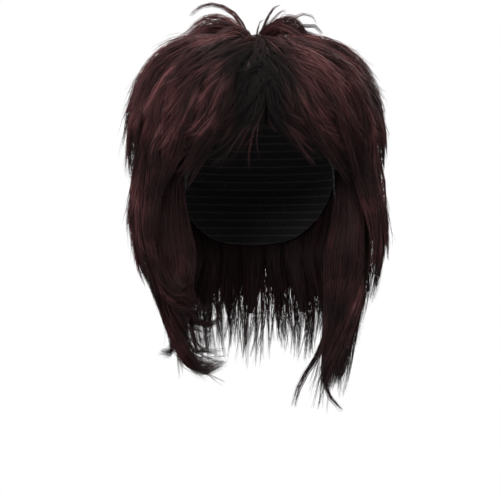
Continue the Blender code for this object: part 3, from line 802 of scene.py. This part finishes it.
def guide_object(name, guides):
    """Guides as chains of edges, which carry what the strands of their clump need."""
    data = bpy.data.meshes.new(name)
    counts = [len(guide.middles) for guide in guides]
    edges, first = [], 0
    for count in counts:
        edges += [(first + i, first + i + 1) for i in range(count - 1)]
        first += count
    data.from_pydata(np.concatenate([guide.middles for guide in guides]).tolist(), edges, [])
    for label in ("across", "outward"):
        values = np.concatenate([getattr(guide, label) for guide in guides]).astype(np.float32)
        data.attributes.new(label, "FLOAT_VECTOR", "POINT").data.foreach_set("vector", values.ravel())
    for label in ("tone", "fill"):
        values = np.repeat([getattr(guide, label) for guide in guides], counts).astype(np.float32)
        data.attributes.new(label, "FLOAT", "POINT").data.foreach_set("value", values)
    return linked(name, data)


class Tree:
    """Adds nodes to a node tree and links their sockets by name or number."""

    def __init__(self, tree):
        self.tree = tree

    def feed(self, node, inputs):
        """Sets a node's inputs to values, or links them to the sockets that carry the values."""
        for socket, value in inputs.items():
            if isinstance(value, bpy.types.NodeSocket):
                self.tree.links.new(value, node.inputs[socket])
            else:
                node.inputs[socket].default_value = value

    def add(self, kind, inputs, **settings):
        node = self.tree.nodes.new(kind)
        for label, value in settings.items():
            setattr(node, label, value)
        self.feed(node, inputs)
        return node

    def math(self, operation, a, b=0.0):
        return self.add("ShaderNodeMath", {0: a, 1: b}, operation=operation).outputs[0]

    def times(self, a, b):
        return self.math("MULTIPLY", a, b)

    def less(self, a, b):
        return self.math("SUBTRACT", a, b)

    def vector(self, operation, a, b=(0.0, 0.0, 0.0)):
        return self.add("ShaderNodeVectorMath", {0: a, 1: b}, operation=operation).outputs[0]

    def scaled(self, vector, factor):
        inputs = {0: vector, "Scale": factor}
        return self.add("ShaderNodeVectorMath", inputs, operation="SCALE").outputs[0]

    def split(self, vector):
        return self.add("ShaderNodeSeparateXYZ", {0: vector}).outputs

    def ranged(self, value, low, high, start=0.0, end=1.0):
        """The value mapped from low and high to start and end."""
        inputs = {"Value": value, 1: low, 2: high, 3: start, 4: end}
        return self.add("ShaderNodeMapRange", inputs).outputs[0]

    def noise(self, place, scale, detail):
        inputs = {"Vector": place, "Scale": scale, "Detail": detail}
        return self.add("ShaderNodeTexNoise", inputs).outputs

    def blend(self, factor, low, high):
        """A colour between two."""
        inputs = {"Factor": factor, 6: low, 7: high}
        return self.add("ShaderNodeMix", inputs, data_type="RGBA").outputs[2]

    def bump(self, height, strength, distance):
        inputs = {"Height": height, "Strength": strength, "Distance": distance}
        return self.add("ShaderNodeBump", inputs).outputs[0]

    def object_place(self):
        return self.add("ShaderNodeTexCoord", {}).outputs["Object"]

    def painted(self, label):
        """A mesh attribute in a material."""
        return self.add("ShaderNodeAttribute", {}, attribute_name=label).outputs

    def named(self, label, kind="FLOAT"):
        """An attribute in a geometry tree."""
        return self.add("GeometryNodeInputNamedAttribute", {"Name": label}, data_type=kind).outputs[0]

    def stored(self, geometry, label, value, kind="FLOAT", domain="POINT"):
        """The geometry with a value kept as an attribute."""
        inputs = {"Geometry": geometry, "Name": label, "Value": value}
        node = self.add("GeometryNodeStoreNamedAttribute", inputs, data_type=kind, domain=domain)
        return node.outputs["Geometry"]


STRAND_INPUTS = (
    ("Strands", "NodeSocketInt", 20),
    ("Points", "NodeSocketInt", 9),
    ("Radius", "NodeSocketFloat", 0.0004),
    ("Frizz", "NodeSocketFloat", 0.002),
    ("Frizz Scale", "NodeSocketFloat", 22.0),
    ("Stray", "NodeSocketFloat", 0.010),
    ("Tip Clump", "NodeSocketFloat", 0.55),
    ("Trim", "NodeSocketFloat", 0.30),
    ("Shaded", "NodeSocketFloat", 0.20),
    ("Parting", "NodeSocketFloat", 0.0001),
    ("Seed", "NodeSocketInt", 1),
    ("Fibre", "NodeSocketMaterial", None),
)


def scattered_curves(tree, given):
    """Several curves for each guide, each with its own roll: places across and out, and luck."""
    curves = tree.add("GeometryNodeMeshToCurve", {"Mesh": given["Guides"]}).outputs["Curve"]
    amount = tree.math("ROUND", tree.times(given["Strands"], tree.named("fill")))
    copies = tree.add(
        "GeometryNodeDuplicateElements", {"Geometry": curves, "Amount": amount}, domain="SPLINE"
    ).outputs["Geometry"]
    roll = tree.add(
        "FunctionNodeRandomValue",
        {0: (-1.0, -1.0, 0.0), 1: (1.0, 1.0, 1.0), "Seed": given["Seed"]},
        data_type="FLOAT_VECTOR",
    ).outputs[0]
    return tree.stored(copies, "roll", roll, "FLOAT_VECTOR", "CURVE")


def laid_strands(tree, given, curves, roll, along):
    """The curves trimmed unevenly, spread round their guide, a little frizzy and some wild."""
    parts = tree.split(roll)
    luck = parts["Z"]
    end = tree.less(1.0, tree.times(given["Trim"], tree.math("POWER", luck, TRIM_POWER)))
    trimmed = tree.add("GeometryNodeTrimCurve", {"Curve": curves, 2: 0.0, 3: end}, mode="FACTOR")
    even = tree.add(
        "GeometryNodeResampleCurve", {"Curve": trimmed.outputs["Curve"], "Count": given["Points"]}
    ).outputs["Curve"]
    across = tree.named("across", "FLOAT_VECTOR")
    outward = tree.named("outward", "FLOAT_VECTOR")
    squared = tree.times(along, along)
    spread = tree.less(1.0, tree.times(given["Tip Clump"], squared))
    sideways = tree.scaled(across, tree.times(parts["X"], spread))
    shift = tree.vector("ADD", sideways, tree.scaled(outward, parts["Y"]))
    place = tree.add("GeometryNodeInputPosition", {}).outputs["Position"]
    unlike = tree.vector("ADD", tree.scaled(place, given["Frizz Scale"]), tree.scaled(roll, UNLIKENESS))
    swing = tree.vector("SUBTRACT", tree.noise(unlike, 1.0, 1.0)["Color"], (0.5, 0.5, 0.5))
    wild = tree.math("POWER", luck, WILD_POWER)
    reach = tree.times(given["Frizz"], tree.times(along, 2.0))
    looser = tree.math("ADD", 1.0, tree.times(wild, WILD_FRIZZ))
    frizz = tree.scaled(swing, tree.times(reach, looser))
    lift = tree.times(tree.times(wild, squared), given["Stray"])
    lifted = tree.scaled(tree.vector("NORMALIZE", outward), lift)
    offset = tree.vector("ADD", shift, tree.vector("ADD", frizz, lifted))
    return tree.add("GeometryNodeSetPosition", {"Geometry": even, "Offset": offset}).outputs["Geometry"]


def marked_strands(tree, given, strands, luck, along):
    """The strands with their shade, and how far they are out of the shadow of root and parting."""
    tone = tree.times(tree.named("tone"), 1 - LUCK_SHADE)
    shade = tree.math("ADD", tree.times(luck, LUCK_SHADE), tone)
    shaded = tree.stored(strands, "shade", shade)
    start = tree.times(given["Shaded"], LIT_START)
    grown = tree.ranged(along, start, given["Shaded"])
    place = tree.add("GeometryNodeInputPosition", {}).outputs["Position"]
    spot = tree.split(place)
    aside = tree.math("ABSOLUTE", tree.less(spot["X"], PARTING_PLACE))
    near = tree.times(given["Parting"], PARTING_CORE)
    beside = tree.ranged(aside, near, given["Parting"])
    above = tree.ranged(spot["Z"], *WHORL_LIGHT)
    return tree.stored(shaded, "lit", tree.times(grown, tree.math("MAXIMUM", beside, above)))


def strand_tree():
    """Grows strands round each guide, as tubes that taper from root to tip."""
    made = bpy.data.node_groups.get("grow_strands")
    if made:
        return made
    group = bpy.data.node_groups.new("grow_strands", "GeometryNodeTree")
    group.is_modifier = True
    group.interface.new_socket("Guides", in_out="INPUT", socket_type="NodeSocketGeometry")
    for label, kind, default in STRAND_INPUTS:
        socket = group.interface.new_socket(label, in_out="INPUT", socket_type=kind)
        if default is not None:
            socket.default_value = default
    group.interface.new_socket("Hair", in_out="OUTPUT", socket_type="NodeSocketGeometry")
    tree = Tree(group)
    given = tree.add("NodeGroupInput", {}).outputs
    roll = tree.named("roll", "FLOAT_VECTOR")
    luck = tree.split(roll)["Z"]
    along = tree.add("GeometryNodeSplineParameter", {}).outputs["Factor"]
    curves = scattered_curves(tree, given)
    laid = laid_strands(tree, given, curves, roll, along)
    marked = marked_strands(tree, given, laid, luck, along)

    rise = tree.ranged(along, 0.0, ROOT_RISE, ROOT_GIRTH)
    taper = tree.times(rise, tree.less(1.0, tree.times(tree.math("POWER", along, 3.0), TIP_FALL)))
    girth = tree.less(FULL_GIRTH, tree.times(luck, LUCK_GIRTH))
    radius = tree.times(tree.times(given["Radius"], taper), girth)
    section = tree.add("GeometryNodeCurvePrimitiveCircle", {"Resolution": TUBE_SIDES, "Radius": 1.0})
    tubes = tree.add(
        "GeometryNodeCurveToMesh",
        {"Curve": marked, "Profile Curve": section.outputs["Curve"], "Scale": radius, "Fill Caps": True},
    ).outputs["Mesh"]
    soft = tree.add("GeometryNodeSetShadeSmooth", {"Geometry": tubes}).outputs["Geometry"]
    coated = tree.add("GeometryNodeSetMaterial", {"Geometry": soft, "Material": given["Fibre"]})
    real = tree.add("GeometryNodeRealizeInstances", {"Geometry": coated.outputs["Geometry"]})
    tree.add("NodeGroupOutput", {0: real.outputs["Geometry"]})
    return group


def grow(name, guides, values):
    """Runs the strand tree over the guides and keeps the result as a plain mesh."""
    holder = guide_object(name + "_guides", guides)
    modifier = holder.modifiers.new("strands", "NODES")
    modifier.node_group = strand_tree()
    for item in modifier.node_group.interface.items_tree:
        if item.item_type == "SOCKET" and item.in_out == "INPUT" and item.name in values:
            modifier[item.identifier] = values[item.name]
    depsgraph = bpy.context.evaluated_depsgraph_get()
    data = bpy.data.meshes.new_from_object(holder.evaluated_get(depsgraph), depsgraph=depsgraph)
    guide_data = holder.data
    bpy.data.objects.remove(holder)
    bpy.data.meshes.remove(guide_data)
    if not data.polygons:
        raise RuntimeError(f"no strands grew for {name}")
    data.name = name
    for label in ("roll", "across", "outward", "tone", "fill"):
        if label in data.attributes:
            data.attributes.remove(data.attributes[label])
    return linked(name, data)


def hair_bed(node, material):
    """The body of a layer under its strands, dark as painted shade, lock by lock, each a closed form."""
    panel = PANELS[node]._replace(comb="straight", ragged=0.0)
    columns = (*BED_PLACES, *reversed(BED_PLACES))
    count = len(columns)
    verts, faces, combing = [], [], []
    for number, lock in enumerate(panel.locks):
        shorter = lock._replace(length=lock.length * BED_LENGTH, lift=0.0)
        rows = [row for row in lock_line(panel, number, shorter, panel.root) if row[3] <= BED_END]
        for i, (angle, level, _half, free) in enumerate(rows):
            inner, top = lock_faces(panel, shorter, angle, level, free * BED_LENGTH)
            inset = min(BED_INSET, BED_ROOM * (top - inner))
            inset += (BED_CLOSING * (top - inner) - inset) * free**2
            reach = BED_WIDTH - BED_NARROWING * free
            heights = [top - inset] * len(BED_PLACES) + [inner + inset] * len(BED_PLACES)
            verts += [place_on(rows, i, at * reach, height) for at, height in zip(columns, heights)]
            combing += [(number + at / 2, i / BAND_POINTS, 0.0) for at in columns]
        first = len(verts) - count * len(rows)
        for row in range(first, len(verts) - count, count):
            for j in range(count):
                a, b = row + j, row + (j + 1) % count
                faces.append((a, b, b + count, a + count))
        faces.append(tuple(range(first + count - 1, first - 1, -1)))
        faces.append(tuple(range(len(verts) - count, len(verts))))
    data = bpy.data.meshes.new(node + "_bed")
    data.from_pydata([tuple(vert) for vert in verts], [], faces)
    values = np.array(combing, dtype=np.float32).ravel()
    data.attributes.new("combing", "FLOAT_VECTOR", "POINT").data.foreach_set("vector", values)
    mesh = bmesh.new()
    mesh.from_mesh(data)
    bmesh.ops.recalc_face_normals(mesh, faces=mesh.faces)
    mesh.to_mesh(data)
    mesh.free()
    data.materials.append(material)
    data.shade_smooth()
    return linked(node + "_bed", data)


def opaque(colour, factor=1.0):
    """A colour, lighter or darker by a factor, with its alpha."""
    return (*[min(1.0, channel * factor) for channel in colour], 1.0)


def material_of(name, paint, settings):
    """The material of this name, painted the first time it is asked for."""
    made = bpy.data.materials.get(name)
    if made:
        return made
    material = bpy.data.materials.new(name)
    material.use_nodes = True
    paint(Tree(material.node_tree), material.node_tree.nodes["Principled BSDF"], settings)
    return material


def paint_fibre(tree, shader, settings):
    """Burgundy fibre: each strand its own shade, painted shade at root and parting, a few light ones."""
    shade, lit = tree.painted("shade")["Fac"], tree.painted("lit")["Fac"]
    # Painted patches of shade and light over the volume of the hair
    patches = tree.ranged(tree.noise(tree.object_place(), PATCH_SCALE, 2.0)["Fac"], 0.36, 0.64)
    mixed = tree.times(patches, PATCH_SHADE)
    mixed = tree.math("ADD", tree.times(shade, 1 - PATCH_SHADE), mixed)
    # The top stops are partly painted highlight, reached mostly by the feathers laid over the surface
    ramp = tree.add("ShaderNodeValToRGB", {"Fac": mixed})
    stops = ramp.color_ramp.elements
    stops[0].position, stops[0].color = 0.10, opaque(settings.darkest_and_shade_colour)
    stops[1].position, stops[1].color = 0.92, opaque(settings.light_and_highlight_colour)
    for position, colour in ((0.45, settings.fibre_colour), (0.74, settings.warm_colour)):
        stops.new(position).color = opaque(colour)
    # Painted shade: the colour falls to the darkest one where a strand is not lit, at its root and by
    # the parting
    colour = tree.blend(lit, opaque(settings.darkest_and_shade_colour), ramp.outputs["Color"])
    rough = tree.ranged(lit, 0.0, 1.0, 0.80, 0.42)
    tree.feed(shader, {"Base Color": colour, "Roughness": rough, "Specular IOR Level": 0.05})


def paint_bed(tree, shader, settings):
    """Painted shade of the depth between the strands, with streaks drawn out along the combing."""
    combing = tree.painted("combing")["Vector"]
    drawn = tree.add("ShaderNodeMapping", {"Vector": combing, "Scale": STREAK_SCALE}).outputs[0]
    streaks = tree.noise(drawn, 1.0, 3.0)["Fac"]
    contrast = tree.ranged(streaks, 0.42, 0.72)
    # Painted shade: the bed runs from a darker share of the fibre colour up to the fibre colour
    dark = opaque(settings.fibre_colour, BED_SHADE)
    colour = tree.blend(contrast, dark, opaque(settings.fibre_colour))
    tree.feed(shader, {"Base Color": colour, "Normal": tree.bump(streaks, 0.5, 0.001)})
    tree.feed(shader, {"Roughness": 0.75, "Specular IOR Level": 0.10})


def paint_net(tree, shader, settings):
    """Black net, with rows of stitched wefts round the head."""
    place = tree.object_place()
    inputs = {"Vector": place, "Scale": NET_SCALE}
    cells = tree.add("ShaderNodeTexVoronoi", inputs, feature="DISTANCE_TO_EDGE")
    inputs = {"Vector": place, "Scale": WEFT_SCALE, "Distortion": 0.3}
    waves = tree.add("ShaderNodeTexWave", inputs, bands_direction="Z").outputs["Fac"]
    rows = tree.ranged(waves, 0.80, 0.97)
    threads = tree.ranged(cells.outputs["Distance"], 0.10, 0.02)
    raised = tree.math("ADD", tree.times(threads, 0.5), rows)
    ramp = tree.add("ShaderNodeValToRGB", {"Fac": tree.times(raised, 0.7)})
    ramp.color_ramp.elements[0].color = opaque(settings.net_colour)
    ramp.color_ramp.elements[1].color = opaque(settings.net_colour, WEFT_LIGHT)
    tree.feed(shader, {"Base Color": ramp.outputs["Color"], "Normal": tree.bump(raised, 0.7, 0.0008)})
    tree.feed(shader, {"Roughness": 0.85, "Specular IOR Level": 0.15})


def paint_floor(tree, shader, settings):
    """Pale paint, seen from above only, so that the underside of the wig shows from below."""
    grain = tree.noise(tree.object_place(), 3.0, 2.0)["Fac"]
    colour = tree.blend(grain, opaque(settings.floor_colour), opaque(settings.floor_colour, FLOOR_GRAIN))
    tree.feed(shader, {"Base Color": colour, "Roughness": 0.9})
    below = tree.add("ShaderNodeNewGeometry", {}).outputs["Backfacing"]
    clear = tree.add("ShaderNodeBsdfTransparent", {}).outputs["BSDF"]
    paint = tree.add("ShaderNodeMixShader", {0: below, 1: shader.outputs["BSDF"], 2: clear})
    tree.feed(tree.tree.nodes["Material Output"], {"Surface": paint.outputs["Shader"]})


def length_value(name, description, default, **limits):
    """A setting that is a length."""
    return bpy.props.FloatProperty(
        name=name, description=description, default=default, unit="LENGTH", **limits
    )


def factor_value(name, description, default, **limits):
    """A setting that is a share."""
    return bpy.props.FloatProperty(
        name=name, description=description, default=default, min=0.0, subtype="FACTOR", **limits
    )


def colour_value(name, description, default):
    """A setting that is a colour."""
    return bpy.props.FloatVectorProperty(
        name=name, description=description, default=default, subtype="COLOR"
    )


class WigHairSettings(bpy.types.PropertyGroup):
    """Sizes and colours of the hair."""

    strand_radius: length_value(
        "Strand Radius", "Half the thickness of a strand at its root", 0.00050, min=0.0001, max=0.002
    )
    strand_points: bpy.props.IntProperty(
        name="Strand Points", description="Points along a strand", default=8, min=4, max=30
    )
    frizz: length_value(
        "Frizz", "How far a strand wanders from its clump at its tip", 0.0030, min=0.0, max=0.02
    )
    stray: length_value(
        "Stray", "How far the loosest strands stand off the hair at their tips", 0.006, min=0.0, max=0.05
    )
    trim: factor_value(
        "Trim", "Largest share of its length by which a strand is cut short", 0.24, max=0.9
    )
    seed: bpy.props.IntProperty(name="Seed", description="Changes where strands fall", default=7, min=0)
    # The darkest strands, and also the painted shade at the roots and beside the parting
    darkest_and_shade_colour: colour_value("Darkest and Shade Colour", "Darkest fibre, at the roots", (0.0056, 0.0045, 0.0045))
    fibre_colour: colour_value("Fibre Colour", "Most of the fibre", (0.0215, 0.0105, 0.0108))
    warm_colour: colour_value("Warm Colour", "Redder strands", (0.0660, 0.0240, 0.0250))
    # The few lightest strands, and also the painted highlight on the feathers
    light_and_highlight_colour: colour_value("Light Colour", "The few lightest strands", (0.1500, 0.0660, 0.0660))
    net_colour: colour_value("Net Colour", "The cap's net", (0.0120, 0.0108, 0.0112))


class WigStageSettings(bpy.types.PropertyGroup):
    """The camera, floor and lights."""

    camera_turn: bpy.props.FloatProperty(
        name="Camera Turn",
        description="The camera's angle round the wig from straight ahead",
        default=math.radians(-4.0),
        subtype="ANGLE",
    )
    camera_distance: length_value(
        "Camera Distance", "From the camera to the middle of the head", 1.6, min=0.5
    )
    pixel_size: length_value(
        "Pixel Size",
        "What one pixel of the photograph spans at the middle of the head",
        0.00093,
        precision=6,
    )
    floor_drop: length_value("Floor Drop", "From the crown of the head down to the floor", 0.46)
    floor_colour: colour_value("Floor Colour", "Paint of the floor", (0.42, 0.42, 0.42))
    light_power: factor_value("Light Power", "Scales every lamp", 1.0)


def strand_values(settings, strands, shaded):
    """Inputs of the strand tree, for those that don't keep their defaults."""
    return {
        "Strands": strands,
        "Points": settings.strand_points,
        "Radius": settings.strand_radius,
        "Frizz": settings.frizz,
        "Stray": settings.stray,
        "Trim": settings.trim,
        "Shaded": shaded,
        "Seed": settings.seed,
        "Fibre": material_of("burgundy_fibre", paint_fibre, settings),
    }


def attach(piece, node=None):
    """Makes a piece of hair ride with the wig, where it may stand for a node."""
    if node:
        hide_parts(node)
    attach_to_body(piece, "root")


def dress_layer(node, settings):
    """Replaces one layer's solid by its strands and its bed."""
    panel = PANELS[node]
    random = np.random.default_rng([settings.seed, sorted(PANELS).index(node)])
    guides = [*clump_guides(panel, random), *edge_guides(panel, random)]
    guides += feather_guides(panel, random)
    values = strand_values(settings, panel.strands, panel.shaded)
    if panel.comb == "parted":
        values["Parting"] = PARTING_SHADE
    if node == "nape_layer":
        values["Tip Clump"] = NAPE_GATHER
        values["Trim"] *= NAPE_TRIM
    attach(grow(node + "_strands", guides, values), node)
    attach(hair_bed(node, material_of("shaded_fibre", paint_bed, settings)), node)


def add_wisps(name, wisps, settings, tone, node=None):
    """Grows wisps and joins them in one piece."""
    random = np.random.default_rng([settings.seed, len(name)])
    values = strand_values(settings, WISP_STRANDS, WISP_SHADED)
    for label, share in WISP_SHARES.items():
        values[label] *= share
    values["Tip Clump"] = WISP_GATHER
    attach(grow(name, list(wisp_guides(wisps, tone, random)), values), node)


class WIG_OT_cap(bpy.types.Operator):
    """Give the cap its net."""

    bl_idname = "wig.cap"
    bl_label = "Cap Net"

    def execute(self, context):
        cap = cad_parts["wig_cap"]
        cap.material_slots[0].material = material_of("black_net", paint_net, context.scene.wig_hair)
        return {"FINISHED"}


class WIG_OT_under_layers(bpy.types.Operator):
    """Grow the lowest layers, beside and behind the neck."""

    bl_idname = "wig.under_layers"
    bl_label = "Under Layers"

    def execute(self, context):
        for node in ("under_layer_left", "under_layer_right", "nape_layer"):
            dress_layer(node, context.scene.wig_hair)
        return {"FINISHED"}


class WIG_OT_side_layers(bpy.types.Operator):
    """Grow the layers at the sides and the back, under the crown layer."""

    bl_idname = "wig.side_layers"
    bl_label = "Side and Back Layers"

    def execute(self, context):
        for node in ("side_layer_left", "side_layer_right", "back_layer"):
            dress_layer(node, context.scene.wig_hair)
        return {"FINISHED"}


class WIG_OT_crown_layer(bpy.types.Operator):
    """Grow the crown layer over the sides and the back."""

    bl_idname = "wig.crown_layer"
    bl_label = "Crown Layer"

    def execute(self, context):
        dress_layer("crown_layer", context.scene.wig_hair)
        return {"FINISHED"}


class WIG_OT_fringe(bpy.types.Operator):
    """Grow the fringe, parted over the forehead."""

    bl_idname = "wig.fringe"
    bl_label = "Fringe"

    def execute(self, context):
        dress_layer("fringe", context.scene.wig_hair)
        return {"FINISHED"}


class WIG_OT_crown_tufts(bpy.types.Operator):
    """Grow the two loose tufts that spring from the whorl."""

    bl_idname = "wig.crown_tufts"
    bl_label = "Crown Tufts"

    def execute(self, context):
        hair = context.scene.wig_hair
        add_wisps("crown_tuft_left_strands", TUFT_WISPS_LEFT, hair, TUFT_TONE, "crown_tuft_left")
        add_wisps("crown_tuft_right_strands", TUFT_WISPS_RIGHT, hair, TUFT_TONE, "crown_tuft_right")
        return {"FINISHED"}


class WIG_OT_wisps(bpy.types.Operator):
    """Grow the curled ends beside the neck and the stray wisps."""

    bl_idname = "wig.wisps"
    bl_label = "Curls and Stray Wisps"

    def execute(self, context):
        hair = context.scene.wig_hair
        add_wisps("curls_right", CURL_WISPS_RIGHT, hair, CURL_TONE)
        add_wisps("curls_left", CURL_WISPS_LEFT, hair, CURL_TONE)
        add_wisps("stray_wisps", STRAY_WISPS, hair, STRAY_TONE)
        return {"FINISHED"}


# The studio: lamps with their places, sizes, powers in watts and colours, the light that the white
# air gives, the floor's size, and the photo's size, middle and the crown's pixel in it
Lamp = namedtuple("Lamp", "name place size power colour")
LAMPS = (
    Lamp("key_lamp", (0.5, -1.5, 1.2), 0.8, 42.0, (1.0, 0.97, 0.95)),
    Lamp("fill_lamp", (-1.2, -1.4, 0.5), 0.9, 24.0, (0.97, 0.98, 1.0)),
    Lamp("top_lamp", (0.0, -0.3, 1.4), 0.8, 40.0, (1.0, 0.98, 0.97)),
    Lamp("back_lamp_left", (1.0, 1.1, 0.7), 0.7, 10.0, (1.0, 1.0, 1.0)),
    Lamp("back_lamp_right", (-1.0, 1.1, 0.7), 0.7, 12.0, (1.0, 1.0, 1.0)),
)
HEAD_MIDDLE = (0.0, 0.0, -0.10)
AIR_LIGHT = 0.46
FLOOR_RADIUS = 0.47
FLOOR_SIDES = 64
PHOTO_WIDTH = 500
PHOTO_CENTRE = (250, 248)
ORIGIN_PIXEL = (257, 78)
SENSOR_WIDTH = 36.0


def add_floor(settings):
    """A round floor, as one sheet that faces up."""
    turns = [math.tau * i / FLOOR_SIDES for i in range(FLOOR_SIDES)]
    drop = settings.floor_drop
    rim = [(FLOOR_RADIUS * math.cos(turn), FLOOR_RADIUS * math.sin(turn), -drop) for turn in turns]
    data = bpy.data.meshes.new("studio_floor")
    data.from_pydata(rim, [], [tuple(range(FLOOR_SIDES))])
    data.materials.append(material_of("pale_paint", paint_floor, settings))
    linked("studio_floor", data)


def add_lamp(lamp, light_power):
    """A soft square lamp that faces the middle of the head."""
    data = bpy.data.lights.new(lamp.name, "AREA")
    data.shape, data.size, data.color = "SQUARE", lamp.size, lamp.colour
    data.energy = lamp.power * light_power
    placed = linked(lamp.name, data)
    placed.location = lamp.place
    ahead = Vector(HEAD_MIDDLE) - Vector(lamp.place)
    placed.rotation_euler = ahead.to_track_quat("-Z", "Y").to_euler()


def add_air(scene):
    """Air that the camera sees as white, and that lights the wig less than that."""
    world = bpy.data.worlds.new("studio_air")
    world.use_nodes = True
    air = Tree(world.node_tree)
    seen = air.add("ShaderNodeLightPath", {}).outputs["Is Camera Ray"]
    strength = air.math("ADD", AIR_LIGHT, air.times(seen, 1.0 - AIR_LIGHT))
    background = world.node_tree.nodes["Background"]
    air.feed(background, {"Color": (1.0, 1.0, 1.0, 1.0), "Strength": strength})
    scene.world = world


def add_camera(scene, settings):
    """The photograph's camera, straight ahead of the middle of its picture."""
    turn, pixel = settings.camera_turn, settings.pixel_size
    right = Vector((math.cos(turn), math.sin(turn), 0.0))
    ahead = Vector((math.sin(turn), -math.cos(turn), 0.0))
    target = right * (PHOTO_CENTRE[0] - ORIGIN_PIXEL[0]) * pixel
    target.z = (ORIGIN_PIXEL[1] - PHOTO_CENTRE[1]) * pixel
    data = bpy.data.cameras.new("photo_camera")
    data.sensor_width = SENSOR_WIDTH
    data.lens = SENSOR_WIDTH * settings.camera_distance / (pixel * PHOTO_WIDTH)
    camera = linked("photo_camera", data)
    camera.location = target + ahead * settings.camera_distance
    camera.rotation_euler = (-ahead).to_track_quat("-Z", "Y").to_euler()
    scene.camera = camera


class WIG_OT_stage(bpy.types.Operator):
    """Set the floor, the lights and the camera."""

    bl_idname = "wig.stage"
    bl_label = "Stage"

    def execute(self, context):
        settings = context.scene.wig_stage
        add_floor(settings)
        for lamp in LAMPS:
            add_lamp(lamp, settings.light_power)
        add_air(context.scene)
        add_camera(context.scene, settings)
        context.scene.view_settings.view_transform = "Standard"
        return {"FINISHED"}


OPERATORS = (
    WIG_OT_cap,
    WIG_OT_under_layers,
    WIG_OT_side_layers,
    WIG_OT_crown_layer,
    WIG_OT_fringe,
    WIG_OT_crown_tufts,
    WIG_OT_wisps,
    WIG_OT_stage,
)


class WIG_PT_wig(bpy.types.Panel):
    """The wig's pieces and settings."""

    bl_idname = "WIG_PT_wig"
    bl_label = "Shag Wig"
    bl_space_type = "VIEW_3D"
    bl_region_type = "UI"
    bl_category = "Wig"

    def draw(self, context):
        column = self.layout.column(align=True)
        for operator in OPERATORS:
            column.operator(operator.bl_idname)
        for settings in (context.scene.wig_hair, context.scene.wig_stage):
            box = self.layout.box()
            for name in settings.__annotations__:
                box.prop(settings, name)


CLASSES = (WigHairSettings, WigStageSettings, *OPERATORS, WIG_PT_wig)


def register():
    for item in CLASSES:
        bpy.utils.register_class(item)
    bpy.types.Scene.wig_hair = bpy.props.PointerProperty(type=WigHairSettings)
    bpy.types.Scene.wig_stage = bpy.props.PointerProperty(type=WigStageSettings)


def unregister():
    del bpy.types.Scene.wig_stage
    del bpy.types.Scene.wig_hair
    for item in reversed(CLASSES):
        bpy.utils.unregister_class(item)


def main():
    register()
    bpy.ops.wig.cap()
    bpy.ops.wig.under_layers()
    bpy.ops.wig.side_layers()
    bpy.ops.wig.crown_layer()
    bpy.ops.wig.fringe()
    bpy.ops.wig.crown_tufts()
    bpy.ops.wig.wisps()
    bpy.ops.wig.stage()


if __name__ == "__main__":
    main()
